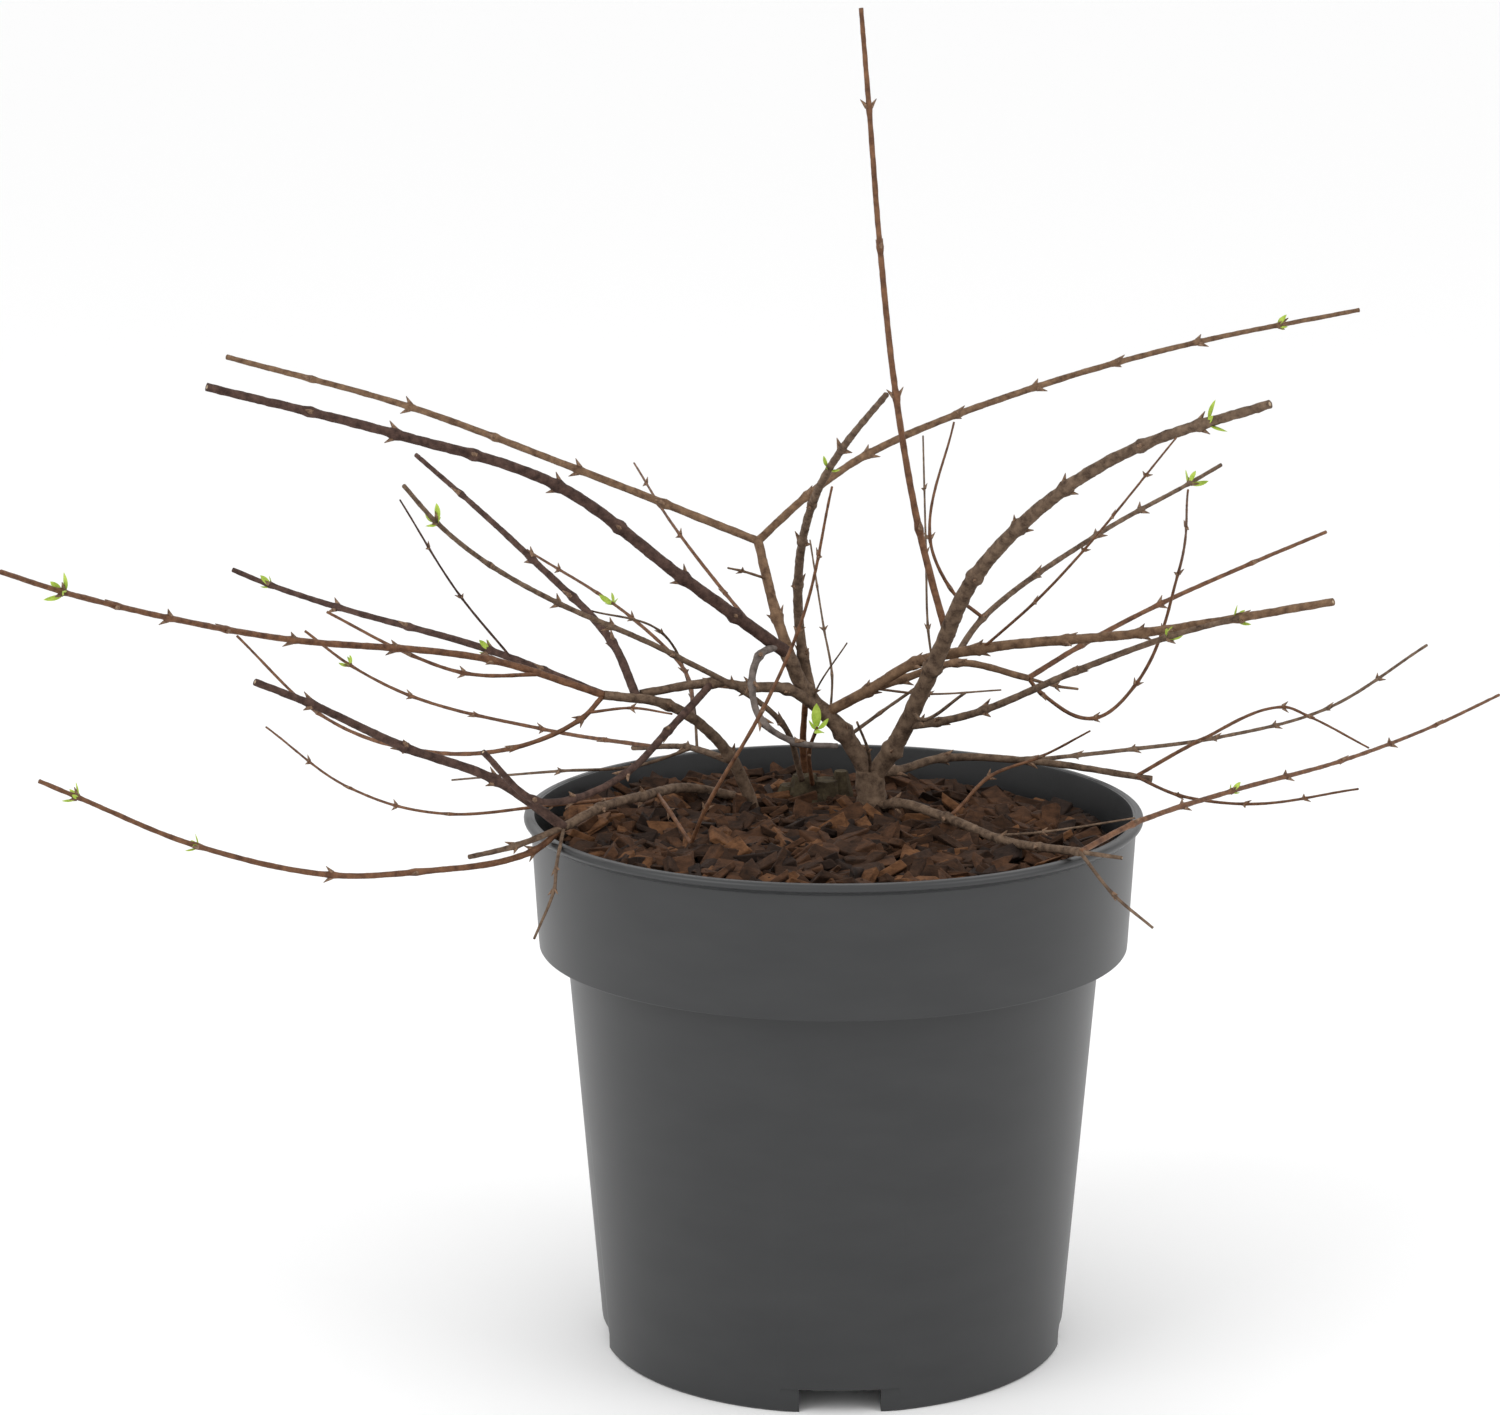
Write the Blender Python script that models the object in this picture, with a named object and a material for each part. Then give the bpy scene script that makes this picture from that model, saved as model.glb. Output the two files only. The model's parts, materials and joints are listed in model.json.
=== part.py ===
"""A bare beautybush in early spring, in a round nursery container mulched with bark chips.

The origin is on the container's axis, at the level that it stands on. +Z is up and the side
that the photograph shows faces -Y. Each limb leaves its parent and runs smoothly through the
few places where it bends, which are nodes of the plant. Such a place is a column and a row
read by eye in the photograph, with a depth in millimetres behind the container's axis, judged
from which limb passes in front of which. More nodes lie evenly between them, and a pair of
buds sits at a node, turned a quarter from the last pair.
"""

import math
import random
from typing import NamedTuple

import bmesh
import bpy
import numpy as np
from mathutils import Euler, Matrix, Vector
from mathutils.geometry import interpolate_bezier

MM = 0.001
GAP = 0.3 * MM

# The container, in millimetres
RIM_RADIUS = 115.0
RIM_TOP = 204.0
RIM_BEAD = 3.0
COLLAR_TOP_RADIUS = 112.4
COLLAR_FOOT_RADIUS = 109.8
COLLAR_FOOT = 154.0
COLLAR_LIP = 1.2
SHOULDER = 157.0
BODY_SHOULDER_RADIUS = 99.9
BASE_RADIUS = 87.0
EDGE = 0.8
WALL = 1.5
FLOOR_LEVEL = 10.0
FOOT_RING = 5.0
POT_SIDES = 40

# The openings in its foot, the front one a little right of centre
NOTCH_COUNT = 4
NOTCH_TURN = math.radians(2)
NOTCH_HEIGHT = 9.2
NOTCH_GROUND_WIDTH = 50.0
NOTCH_TOP_WIDTH = 42.6
NOTCH_DEPTH = 2.4
RECESS_REACH = 12.0
OPENING_WIDTH = 29.6
OPENING_REACH = 40.0
DRAIN_COUNT = 8
DRAIN_RADIUS = 4.5
DRAIN_SIDES = 12
DRAIN_CIRCLE = 55.0

# What fills it
GROUND = 177.0
MULCH_TOP = 196.5
MULCH_RADIUS = 108.6
MULCH_RINGS = 7
MULCH_SPOKES = 32
MULCH_UNEVEN = 1.3
MULCH_FALL = 5.0
MULCH_RISE = 2.0
MULCH_FALL_HEADING = math.radians(35)
MULCH_CLEAR = 1.2
FURROW = 9.0
CHIP_COUNT = 38
CHIP_TRIES = 600
CHIP_SPACING = 11.0
CHIP_CLEAR = 3.4
CHIP_SHIFT = Vector((2.4, 1.4, 0.4))
CHIP_TILT = 0.33
SEED = 7

# The limbs
PATH_STEP = 2.0
RING_STEP = 20.0
INTERNODE = 34.0
LONG_INTERNODE = 54.0
KNUCKLE = 1.28
TWIG = 1.9
BOUGH = 5.0
ROOT_FLARE = 0.45
FLARE_REACH = 9.0
FOOT_DEPTH = 8.0
RISING_LENGTH = 28.0
TIP_CLEAR = 5.0
NEAR = 0.6

# What grows at their nodes
BUD_LENGTH = 2.2
BUD_REACH = 1.7
BUD_WIDTH = 0.75
BUD_THICKEST = 8.0
BUD_THINNEST = 2.3
BUD_CLEAR = 1.4
LEAF_THICKNESS = 0.3
LEAF_WIDTH = 0.36
LEAF_SPREAD = math.radians(38)
LEAF_OUTLINE = ((0.0, 0.35), (0.3, 0.9), (0.6, 0.8), (1.0, 0.0))

# How the photograph was taken, in its frame of 1500 by 1415 pixels
MIDDLE = (750.0, 707.5)
FOCAL = 4001.0
CAMERA_PLACE = Vector((0, -1.450, 0.5453))
CAMERA_DOWN = math.radians(11.79)
CAMERA_LEFT = math.radians(1.22)
CAMERA_ROLL = math.radians(-0.12)
CAMERA_TURN = (
    Matrix.Rotation(CAMERA_LEFT, 3, "Z")
    @ Matrix.Rotation(math.pi / 2 - CAMERA_DOWN, 3, "X")
    @ Matrix.Rotation(CAMERA_ROLL, 3, "Z")
)


class Limb(NamedTuple):
    """A stem, bough or twig. Its root is the place in the picture where it leaves its parent."""

    name: str
    parent: str
    root: tuple
    bends: tuple
    thick: tuple
    internode: float = INTERNODE
    fused: bool = False
    foot: tuple = ()


def rooted(name, foot, bends, thick):
    """A limb that stands at a foot of its own, given in millimetres."""
    return Limb(name, "", (), bends, thick, foot=foot)


def twig(name, parent, root, bends, thick):
    """A side twig that is one body with its parent."""
    return Limb(name, parent, root, bends, thick, fused=True)


LIMBS = (
    # The stems that rise out of the chips
    rooted("root_crown", (15, 34, GROUND), ((872, 800, 34), (869, 768, 32)), (14, 10)),
    rooted("left_stem", (-25, 41, GROUND), ((729, 755, 24), (668, 705, 6), (604, 695, 0)), (5.2, 3.4)),
    rooted("stump_shoot", (-11, 56, 205), ((803, 745, 49), (805, 704, 38)), (3, 2.2)),
    rooted("leafy_shoot", (-8, 46, 203), ((809, 753, 30), (817, 728, 12)), (1.8, 1.4)),
    rooted(
        "low_stem",
        (-38, 47, 198),
        ((690, 788, 35), (643, 796, 0), (600, 808, -30), (564, 827, -50)),
        (3.8, 3.4),
    ),
    Limb(
        "left_trunk",
        "root_crown",
        (869, 777),
        ((843, 732, 31), (806, 692, 28), (787, 653, 24)),
        (7.2, 5.4),
    ),
    Limb(
        "right_trunk",
        "root_crown",
        (872, 780),
        ((892, 750, 29), (933, 667, 13), (975, 577, -14), (1066, 488, -45), (1141, 446, -62), (1270, 404, -90)),
        (7.2, 3.2),
    ),
    # Limbs and boughs of the left trunk
    Limb(
        "cross_limb",
        "left_trunk",
        (824, 718),
        ((787, 689, 20), (749, 687, 13), (712, 683, 9), (640, 694, 8)),
        (4.4, 3.2),
    ),
    Limb(
        "middle_right_limb",
        "left_trunk",
        (822, 718),
        ((869, 690, 26), (915, 663, 20), (979, 649, 13), (1141, 633, -15), (1333, 602, -60)),
        (4.4, 2.8),
    ),
    Limb(
        "upright_limb",
        "left_trunk",
        (812, 702),
        ((803, 654, 33), (798, 585, 14), (812, 505, -30), (842, 449, -68), (886, 395, -105)),
        (4, 2.2),
    ),
    Limb("fork_limb", "left_trunk", (797, 674), ((777, 617, 40), (758, 541, 60)), (4.4, 3.6)),
    Limb(
        "thick_left_bough",
        "left_trunk",
        (787, 653),
        ((683, 578, 4), (558, 486, -15), (395, 434, -45), (207, 387, -75)),
        (5, 3),
    ),
    Limb(
        "upper_left_bough",
        "fork_limb",
        (758, 541),
        ((579, 470, 90), (410, 407, 120), (227, 357, 150)),
        (3.2, 2.2),
    ),
    Limb(
        "upper_right_bough",
        "fork_limb",
        (758, 541),
        ((807, 496, 70), (868, 454, 85), (1036, 387, 125), (1198, 342, 155), (1359, 310, 180)),
        (3.2, 1.8),
    ),
    Limb(
        "red_inner_twig",
        "thick_left_bough",
        (760, 631),
        ((725, 593, 50), (680, 535, 84), (634, 463, 172)),
        (1.6, 0.8),
    ),
    Limb(
        "dead_grey_twig",
        "thick_left_bough",
        (777, 647),
        ((759, 656, 12), (752, 684, 3), (762, 721, -4), (795, 742, -6), (837, 746, 0)),
        (3, 2.2),
    ),
    # Boughs and whips of the left stem
    Limb(
        "third_left_bough",
        "left_stem",
        (637, 696),
        ((612, 642, 20), (532, 559, 52), (461, 494, 82), (416, 455, 100)),
        (3.4, 1.8),
    ),
    Limb(
        "far_left_whip",
        "left_stem",
        (604, 695),
        ((491, 660, -12), (293, 640, -58), (169, 618, -112), (63, 592, -152), (1, 572, -180)),
        (2.8, 1.8),
    ),
    Limb(
        "dark_left_bough",
        "left_stem",
        (604, 695),
        ((489, 650, 25), (337, 607, 56), (270, 585, 72), (233, 570, 80)),
        (3, 2),
    ),
    Limb(
        "looping_left_whip",
        "left_stem",
        (604, 695),
        ((581, 719, -6), (513, 748, -12), (410, 749, 10), (318, 713, 40), (237, 636, 60)),
        (2, 1),
    ),
    Limb(
        "fifth_left_bough",
        "left_stem",
        (694, 720),
        ((685, 671, 52), (632, 618, 85), (527, 550, 155)),
        (1.6, 1),
    ),
    Limb("back_left_stub", "left_stem", (734, 762), ((686, 747, 60), (633, 748, 90)), (2.8, 2)),
    Limb(
        "orange_whip",
        "back_left_stub",
        (655, 748),
        ((542, 729, 132), (411, 696, 160), (350, 665, 168), (305, 631, 175)),
        (1.8, 1.2),
    ),
    rooted(
        "fourth_left_bough",
        (-12, 45, 205),
        ((781, 722, 24), (672, 654, -8), (558, 603, -38), (490, 565, -70), (436, 522, -102), (404, 486, -120)),
        (2.4, 1.6),
    ),
    Limb(
        "bent_stem",
        "cross_limb",
        (712, 686),
        ((668, 731, -18), (625, 774, -46), (573, 799, -66), (533, 799, -80), (483, 752, -95)),
        (3, 2.2),
    ),
    # The low stem that lies on the chips and what grows from it
    Limb(
        "low_left_limb",
        "low_stem",
        (564, 827),
        ((495, 780, -58), (404, 747, -76), (311, 704, -98), (255, 682, -110)),
        (3.8, 2.6),
    ),
    Limb(
        "low_left_whip",
        "low_stem",
        (564, 829),
        ((533, 851, -57), (416, 872, -80), (332, 875, -90), (197, 846, -106), (77, 797, -124), (39, 781, -130)),
        (2.4, 1.6),
    ),
    Limb(
        "thin_low_whip",
        "low_stem",
        (655, 793),
        ((604, 800, 0), (552, 805, -8), (449, 814, -12), (350, 788, 20), (266, 727, 60)),
        (1.4, 0.8),
    ),
    Limb("vee_foot", "low_stem", (657, 793), ((670, 812, -12), (691, 844, -38)), (1.8, 1.5)),
    # Limbs and boughs of the right side
    Limb(
        "pale_limb",
        "middle_right_limb",
        (869, 692),
        ((903, 679, 31), (957, 663, 38), (1028, 678, 48)),
        (3, 2.6),
    ),
    Limb(
        "inner_right_bough",
        "pale_limb",
        (950, 664),
        ((983, 618, 58), (1097, 535, 98), (1190, 483, 138), (1221, 465, 150)),
        (2.6, 1.6),
    ),
    Limb(
        "pale_upper_twig",
        "pale_limb",
        (1028, 678),
        ((1082, 645, 63), (1160, 604, 83), (1252, 563, 105), (1326, 532, 125)),
        (2.2, 1.4),
    ),
    Limb(
        "curled_twig",
        "pale_limb",
        (1028, 679),
        ((1042, 694, 51), (1095, 718, 60), (1136, 684, 61), (1178, 574, 40), (1188, 490, -20)),
        (1.6, 0.8),
    ),
    Limb(
        "tall_shoot",
        "right_trunk",
        (947, 634),
        ((919, 529, 9), (896, 396, 11), (880, 247, 17), (869, 107, 24), (861, 8, 30)),
        (2.8, 1.8),
        internode=LONG_INTERNODE,
    ),
    Limb(
        "lower_right_limb",
        "right_trunk",
        (910, 728),
        ((938, 722, 17), (984, 710, 4), (1076, 671, -15), (1168, 637, -32), (1238, 618, -50)),
        (3.2, 2),
    ),
    Limb(
        "thin_right_twig",
        "middle_right_limb",
        (981, 649),
        ((1035, 602, -12), (1084, 550, -45), (1176, 438, -115)),
        (1.2, 0.7),
    ),
    Limb(
        "crossed_upright_twig",
        "inner_right_bough",
        (983, 619),
        ((950, 588, 46), (930, 538, 45), (954, 422, 60)),
        (1.6, 0.8),
    ),
    # The low limbs over the rim on the right
    Limb(
        "front_right_limb",
        "root_crown",
        (873, 808),
        ((896, 803, 24), (947, 818, 2), (1002, 840, -28), (1080, 852, -80)),
        (3.8, 3),
    ),
    Limb(
        "orange_right_whip",
        "front_right_limb",
        (1080, 852),
        ((1133, 824, -52), (1232, 791, -3), (1341, 761, 50), (1436, 725, 106), (1499, 695, 140)),
        (2.2, 1.2),
    ),
    Limb(
        "crossing_twig",
        "front_right_limb",
        (946, 818),
        ((956, 811, 4), (989, 777, 10), (1040, 757, 15), (1090, 731, 0)),
        (1.6, 0.8),
    ),
    Limb(
        "back_right_limb",
        "root_crown",
        (873, 772),
        ((895, 771, 41), (944, 758, 57), (1030, 761, 60), (1152, 779, 48)),
        (3.4, 2.4),
    ),
    Limb(
        "back_right_bough",
        "back_right_limb",
        (1028, 761),
        ((1134, 749, 90), (1215, 738, 114), (1328, 708, 147), (1427, 645, 180)),
        (1.8, 1.2),
    ),
    Limb(
        "bowed_right_twig",
        "back_right_limb",
        (1134, 777),
        ((1199, 741, 44), (1283, 707, 36), (1308, 716, 32), (1369, 748, 20)),
        (1.6, 0.8),
    ),
    Limb(
        "low_right_twig",
        "back_right_limb",
        (1134, 777),
        ((1178, 795, 28), (1245, 804, 0), (1358, 789, -60)),
        (1.4, 0.8),
    ),
    # Side twigs, each one body with the limb that it grows from
    twig(
        "vee_twig",
        "vee_foot",
        (691, 844),
        ((706, 808, -46), (762, 711, -52), (798, 631, -58), (832, 487, -112)),
        (1.6, 0.9),
    ),
    twig("red_left_twig", "far_left_whip", (540, 682), ((464, 673, -26), (411, 655, -22), (327, 612, -10)), (1.6, 1)),
    twig("under_twig", "looping_left_whip", (584, 708), ((632, 708, -12), (672, 714, -22)), (1.2, 0.8)),
    twig("thin_left_twig", "dark_left_bough", (511, 658), ((461, 597, 2), (400, 500, -40)), (1, 0.7)),
    twig("dark_stub", "low_stem", (564, 827), ((515, 846, -63), (469, 857, -78)), (2.4, 1.8)),
    twig("hanging_left_twig", "low_stem", (564, 829), ((556, 869, -72), (554, 890, -80), (534, 939, -90)), (1.4, 1)),
    twig("back_left_twig", "back_left_stub", (692, 748), ((636, 766, 54), (560, 771, 57), (452, 780, 110)), (1.4, 0.8)),
    twig("kinked_twig", "back_left_stub", (698, 747), ((692, 697, 63), (661, 632, 52), (588, 610, 38)), (1.2, 0.8)),
    twig("thin_upright_twig", "left_trunk", (827, 720), ((832, 675, 46), (824, 629, 65), (810, 540, 112)), (1, 0.7)),
    twig("short_slant_twig", "left_trunk", (812, 704), ((816, 691, 24), (847, 643, 10)), (0.8, 0.6)),
    twig("fork_dry_twig", "fork_limb", (768, 580), ((742, 571, 38), (728, 568, 30)), (1.2, 0.8)),
    twig("back_slant_twig", "left_trunk", (849, 737), ((880, 713, 39), (917, 687, 48)), (1.6, 1.2)),
    twig("pale_stub", "pale_limb", (1026, 678), ((1056, 686, 55), (1078, 689, 60)), (1.4, 1)),
    twig("short_right_twig", "right_trunk", (916, 712), ((922, 720, 12), (965, 693, -12)), (1.6, 1.2)),
    twig("right_upright_twig", "right_trunk", (932, 668), ((928, 628, 17), (926, 552, 25), (923, 436, 70)), (1, 0.7)),
    twig("back_level_twig", "middle_right_limb", (872, 690), ((929, 694, 48), (1001, 690, 70)), (1, 0.7)),
    twig("dry_upright_twig", "root_crown", (872, 776), ((868, 750, 14), (857, 722, 4)), (1.6, 1)),
    twig("front_stub", "front_right_limb", (1078, 852), ((1122, 858, -86),), (1.8, 1.4)),
    twig("hanging_right_twig", "front_right_limb", (1080, 853), ((1113, 894, -90), (1153, 928, -98)), (1.4, 1)),
    twig("thin_mulch_twig", "front_right_limb", (990, 834), ((1043, 832, -44), (1135, 818, -30)), (1, 0.7)),
)

# Buds that have opened: the limb, the place in the picture, and the leaves' length
OPEN_BUDS = (
    ("leafy_shoot", (817, 728), 9.0),
    ("far_left_whip", (63, 592), 7.0),
    ("dark_left_bough", (489, 650), 5.0),
    ("dark_left_bough", (270, 585), 5.0),
    ("fourth_left_bough", (436, 522), 6.0),
    ("fifth_left_bough", (611, 604), 6.0),
    ("low_left_whip", (77, 797), 5.0),
    ("low_left_whip", (197, 846), 4.0),
    ("orange_whip", (350, 665), 5.0),
    ("upright_limb", (830, 468), 4.5),
    ("upper_right_bough", (1279, 323), 5.0),
    ("right_trunk", (1208, 416), 7.0),
    ("inner_right_bough", (1190, 483), 7.0),
    ("middle_right_limb", (1236, 618), 5.0),
    ("lower_right_limb", (1168, 637), 5.0),
    ("orange_right_whip", (1232, 791), 4.0),
)

# Each lump of the old stump: its place across the ground, its top, its width and its top's width
STUMP_LUMPS = (
    ((-17, 55), 201.0, 13, 7),
    ((-11, 53), 205.5, 15, 9),
    ((-3, 53), 203.5, 14, 10),
    ((3, 55), 206.5, 10, 5),
    ((-8, 48), 199.0, 12, 7),
)
STUMP_CLEAR = 26.0

# Base colour, roughness
BARKS = {
    "old_bark": ((0.115, 0.078, 0.052), 0.85),
    "young_bark": ((0.165, 0.072, 0.040), 0.62),
    "dead_bark": ((0.20, 0.17, 0.15), 0.9),
}
YOUNG = ("whip", "shoot", "twig", "vee")
LEAF_GREEN = (0.34, 0.44, 0.05)


def clear_scene():
    for obj in list(bpy.data.objects):
        bpy.data.objects.remove(obj)


def material(name, colour, roughness):
    """A Principled material, made once for each name."""
    found = bpy.data.materials.get(name)
    if found:
        return found
    made = bpy.data.materials.new(name)
    made.use_nodes = True
    shader = made.node_tree.nodes["Principled BSDF"]
    shader.inputs["Base Color"].default_value = (*colour, 1)
    shader.inputs["Roughness"].default_value = roughness
    made.diffuse_color = (*colour, 1)
    return made


def object_of(name, mesh):
    obj = bpy.data.objects.new(name, mesh)
    bpy.context.scene.collection.objects.link(obj)
    return obj


def object_from(name, bm):
    """An object of a bmesh, which is freed."""
    mesh = bpy.data.meshes.new(name)
    bm.to_mesh(mesh)
    bm.free()
    return object_of(name, mesh)


def apply_modifiers(obj):
    """Replaces the mesh by the one that its modifiers make of it."""
    graph = bpy.context.evaluated_depsgraph_get()
    mesh = bpy.data.meshes.new_from_object(obj.evaluated_get(graph))
    obj.modifiers.clear()
    obj.data = mesh


def keep_largest(obj):
    """Drops the loose scraps and the sealed hollows that a Boolean leaves beside the body."""
    bm = bmesh.new()
    bm.from_mesh(obj.data)
    left = set(bm.verts)
    islands = []
    while left:
        island = {left.pop()}
        front = set(island)
        while front:
            front = {edge.other_vert(v) for v in front for edge in v.link_edges} & left
            island |= front
            left -= front
        islands.append(island)
    largest = max(islands, key=len)
    bmesh.ops.delete(bm, geom=[v for v in bm.verts if v not in largest], context="VERTS")
    bm.to_mesh(obj.data)
    bm.free()


def fuse(obj, others):
    """Joins the others to the body with one union and removes them."""
    if not others:
        return
    group = bpy.data.collections.new(obj.name + "_pieces")
    bpy.context.scene.collection.children.link(group)
    for other in others:
        group.objects.link(other)
    union = obj.modifiers.new("Union", "BOOLEAN")
    union.operation = "UNION"
    union.operand_type = "COLLECTION"
    union.collection = group
    apply_modifiers(obj)
    for other in others:
        bpy.data.objects.remove(other)
    bpy.data.collections.remove(group)


def carve(obj, cutters):
    """Cuts each cutter out of the body and removes it."""
    for cutter in cutters:
        cutter.hide_render = True
        cutter.display_type = "WIRE"
        cut = obj.modifiers.new("Cut", "BOOLEAN")
        cut.operation = "DIFFERENCE"
        cut.object = cutter
    apply_modifiers(obj)
    for cutter in cutters:
        bpy.data.objects.remove(cutter)


def seen(column, row, depth):
    """The place that the photograph shows at a column and a row, at a depth in millimetres."""
    sight = CAMERA_TURN @ Vector((column - MIDDLE[0], MIDDLE[1] - row, -FOCAL))
    return CAMERA_PLACE + sight * (depth * MM - CAMERA_PLACE.y) / sight.y


def pictured(place):
    """The column and row at which the photograph shows a place."""
    sight = CAMERA_TURN.transposed() @ (place - CAMERA_PLACE)
    return Vector((MIDDLE[0] - FOCAL * sight.x / sight.z, MIDDLE[1] + FOCAL * sight.y / sight.z))


def smooth_span(first, last, leaving, arriving):
    """The points after the first one, on a smooth way from one place to the next."""
    third = (last - first).length / 3
    count = max(3, math.ceil((last - first).length / (PATH_STEP * MM)) + 1)
    return interpolate_bezier(first, first + leaving * third, last - arriving * third, last, count)[1:]


class Run:
    """A limb's centre line in metres, with the distances along it, and of its nodes, in millimetres."""

    def __init__(self, limb, start):
        self.limb = limb
        places = [start] + [seen(*bend) for bend in limb.bends]
        ways = [(last - first).normalized() for first, last in zip(places, places[1:])]
        middles = [(first + last).normalized() for first, last in zip(ways, ways[1:])]
        turns = [ways[0], *middles, ways[-1]]
        self.points = [start]
        marks = [0]
        for k in range(len(ways)):
            self.points += smooth_span(places[k], places[k + 1], turns[k], turns[k + 1])
            marks.append(len(self.points) - 1)
        steps = np.linalg.norm(np.diff(np.array(self.points), axis=0), axis=1)
        self.along = np.concatenate([[0.0], np.cumsum(steps)]) / MM
        self.long = float(self.along[-1])
        rng = random.Random(limb.name)
        self.turn = rng.uniform(0, math.pi)
        self.nodes = self.node_spots([float(self.along[mark]) for mark in marks], rng)

    def node_spots(self, bends, rng):
        """Nodes at the bends and evenly between them, above the chips and short of the tip."""
        found = []
        for first, last in zip(bends, bends[1:]):
            count = max(1, round((last - first) / self.limb.internode))
            for k in range(1, count + 1):
                uneven = 0.0 if k == count else rng.uniform(-0.08, 0.08)
                found.append(first + (last - first) * (k + uneven) / count)
        over = [spot for spot in found if self.point(spot).z > RIM_TOP * MM or not self.limb.foot]
        return [spot for spot in over if TIP_CLEAR < spot < self.long - TIP_CLEAR]

    def point(self, spot):
        """The place at a distance in millimetres along the limb."""
        after = min(max(int(np.searchsorted(self.along, spot)), 1), len(self.points) - 1)
        share = (spot - self.along[after - 1]) / (self.along[after] - self.along[after - 1])
        return self.points[after - 1].lerp(self.points[after], float(share))

    def ahead(self, spot):
        return (self.point(min(spot + 1, self.long)) - self.point(max(spot - 1, 0))).normalized()

    def radius(self, spot):
        """The plain tapering radius in metres, with a flare at a foot in the ground."""
        root, tip = self.limb.thick
        plain = root + (tip - root) * spot / self.long
        if stands(self.limb):
            plain *= 1 + ROOT_FLARE * math.exp(-spot / FLARE_REACH)
        return plain / 2 * MM

    def nearest(self, column, row):
        """The distance along the limb of the point that the photograph shows nearest to a place."""
        goal = Vector((column, row))
        apart = [(pictured(point) - goal).length for point in self.points]
        return float(self.along[apart.index(min(apart))])

    def rings(self):
        """(distance, radius) of each ring of the faceted limb: nodes are a little swollen."""
        marks = [0.0, *self.nodes, self.long]
        found = []
        for first, last in zip(marks, marks[1:]):
            parts = max(1, math.ceil((last - first) / RING_STEP))
            for k in range(parts):
                spot = first + (last - first) * k / parts
                swell = KNUCKLE if k == 0 and first > 0 else 1
                found.append((spot, self.radius(spot) * swell))
        found.append((self.long, self.radius(self.long)))
        return found


def tube(name, points, radii, sides):
    """A closed tube with flat ends: a curve with a bevel, made into a mesh."""
    curve = bpy.data.curves.new(name, "CURVE")
    curve.dimensions = "3D"
    curve.bevel_depth = 1.0
    curve.bevel_resolution = (sides - 4) // 2
    curve.use_fill_caps = True
    spline = curve.splines.new("POLY")
    spline.points.add(len(points) - 1)
    for spot, point, radius in zip(spline.points, points, radii):
        spot.co = (*point, 1)
        spot.radius = radius
    rod = object_of(name, curve)
    graph = bpy.context.evaluated_depsgraph_get()
    mesh = bpy.data.meshes.new_from_object(rod.evaluated_get(graph))
    bpy.data.objects.remove(rod)
    bm = bmesh.new()
    bm.from_mesh(mesh)
    bmesh.ops.remove_doubles(bm, verts=bm.verts, dist=MM * 0.002)
    bmesh.ops.recalc_face_normals(bm, faces=bm.faces)
    bm.to_mesh(mesh)
    bm.free()
    return object_of(name, mesh)


def limb_tube(run, wider=0.0):
    """The limb's own tube, or with a margin the sleeve that keeps another limb clear of it."""
    limb = run.limb
    spots, radii = zip(*run.rings())
    points = [run.point(spot) for spot in spots]
    sides = 8 if limb.thick[0] > BOUGH else 6 if limb.thick[0] > TWIG else 4
    if stands(limb):
        points[0] = points[0] - run.ahead(0) * FOOT_DEPTH * MM
    if wider:
        points[0] = points[0] - run.ahead(0) * wider
        points[-1] = points[-1] + run.ahead(run.long) * wider
        # A facet's middle is nearer the axis than its corners, so the sleeve grows with the corners
        radii = [radius + wider / math.cos(math.pi / sides) for radius in radii]
    return tube(limb.name + ("_sleeve" if wider else ""), points, radii, sides)


def bud(base, point, radius):
    """A three-sided bud with its base at one place and its point at another."""
    bm = bmesh.new()
    span = point - base
    bmesh.ops.create_cone(
        bm,
        cap_ends=True,
        segments=3,
        radius1=radius,
        radius2=0,
        depth=span.length,
        matrix=Matrix.Translation(base + span / 2) @ span.to_track_quat("Z", "Y").to_matrix().to_4x4(),
    )
    bmesh.ops.remove_doubles(bm, verts=bm.verts, dist=MM * 0.01)
    return object_from("bud", bm)


def leaf(base, along, flat, long):
    """A small blade that starts inside the bark: an outline of a few points with a thickness."""
    bm = bmesh.new()
    right = [Vector((LEAF_WIDTH * long * half / 2, long * share, 0)) for share, half in LEAF_OUTLINE]
    left = [Vector((-p.x, p.y, 0)) for p in reversed(right[:-1])]
    face = bm.faces.new([bm.verts.new(p) for p in right + left])
    grown = bmesh.ops.extrude_face_region(bm, geom=[face])
    moved = [v for v in grown["geom"] if isinstance(v, bmesh.types.BMVert)]
    bmesh.ops.translate(bm, verts=moved, vec=(0, 0, LEAF_THICKNESS))
    bmesh.ops.scale(bm, vec=(MM, MM, MM), verts=bm.verts)
    across = along.cross(flat).normalized()
    turn = Matrix((across, along, across.cross(along))).transposed().to_4x4()
    bmesh.ops.transform(bm, matrix=Matrix.Translation(base) @ turn, verts=bm.verts)
    bmesh.ops.recalc_face_normals(bm, faces=bm.faces)
    return object_from("leaf", bm)


def clearance(place, run):
    """How far a place is from a limb's bark."""
    return min((point - place).length - run.radius(spot) for point, spot in zip(run.points, run.along))


def sides_of(run, spot, quarter):
    """The limb's own direction at a node and the two ways that its buds face."""
    ahead = run.ahead(spot)
    side = ahead.orthogonal().normalized()
    side.rotate(Matrix.Rotation(run.turn + quarter * math.pi / 2, 3, ahead))
    return ahead, (side, -side)


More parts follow.
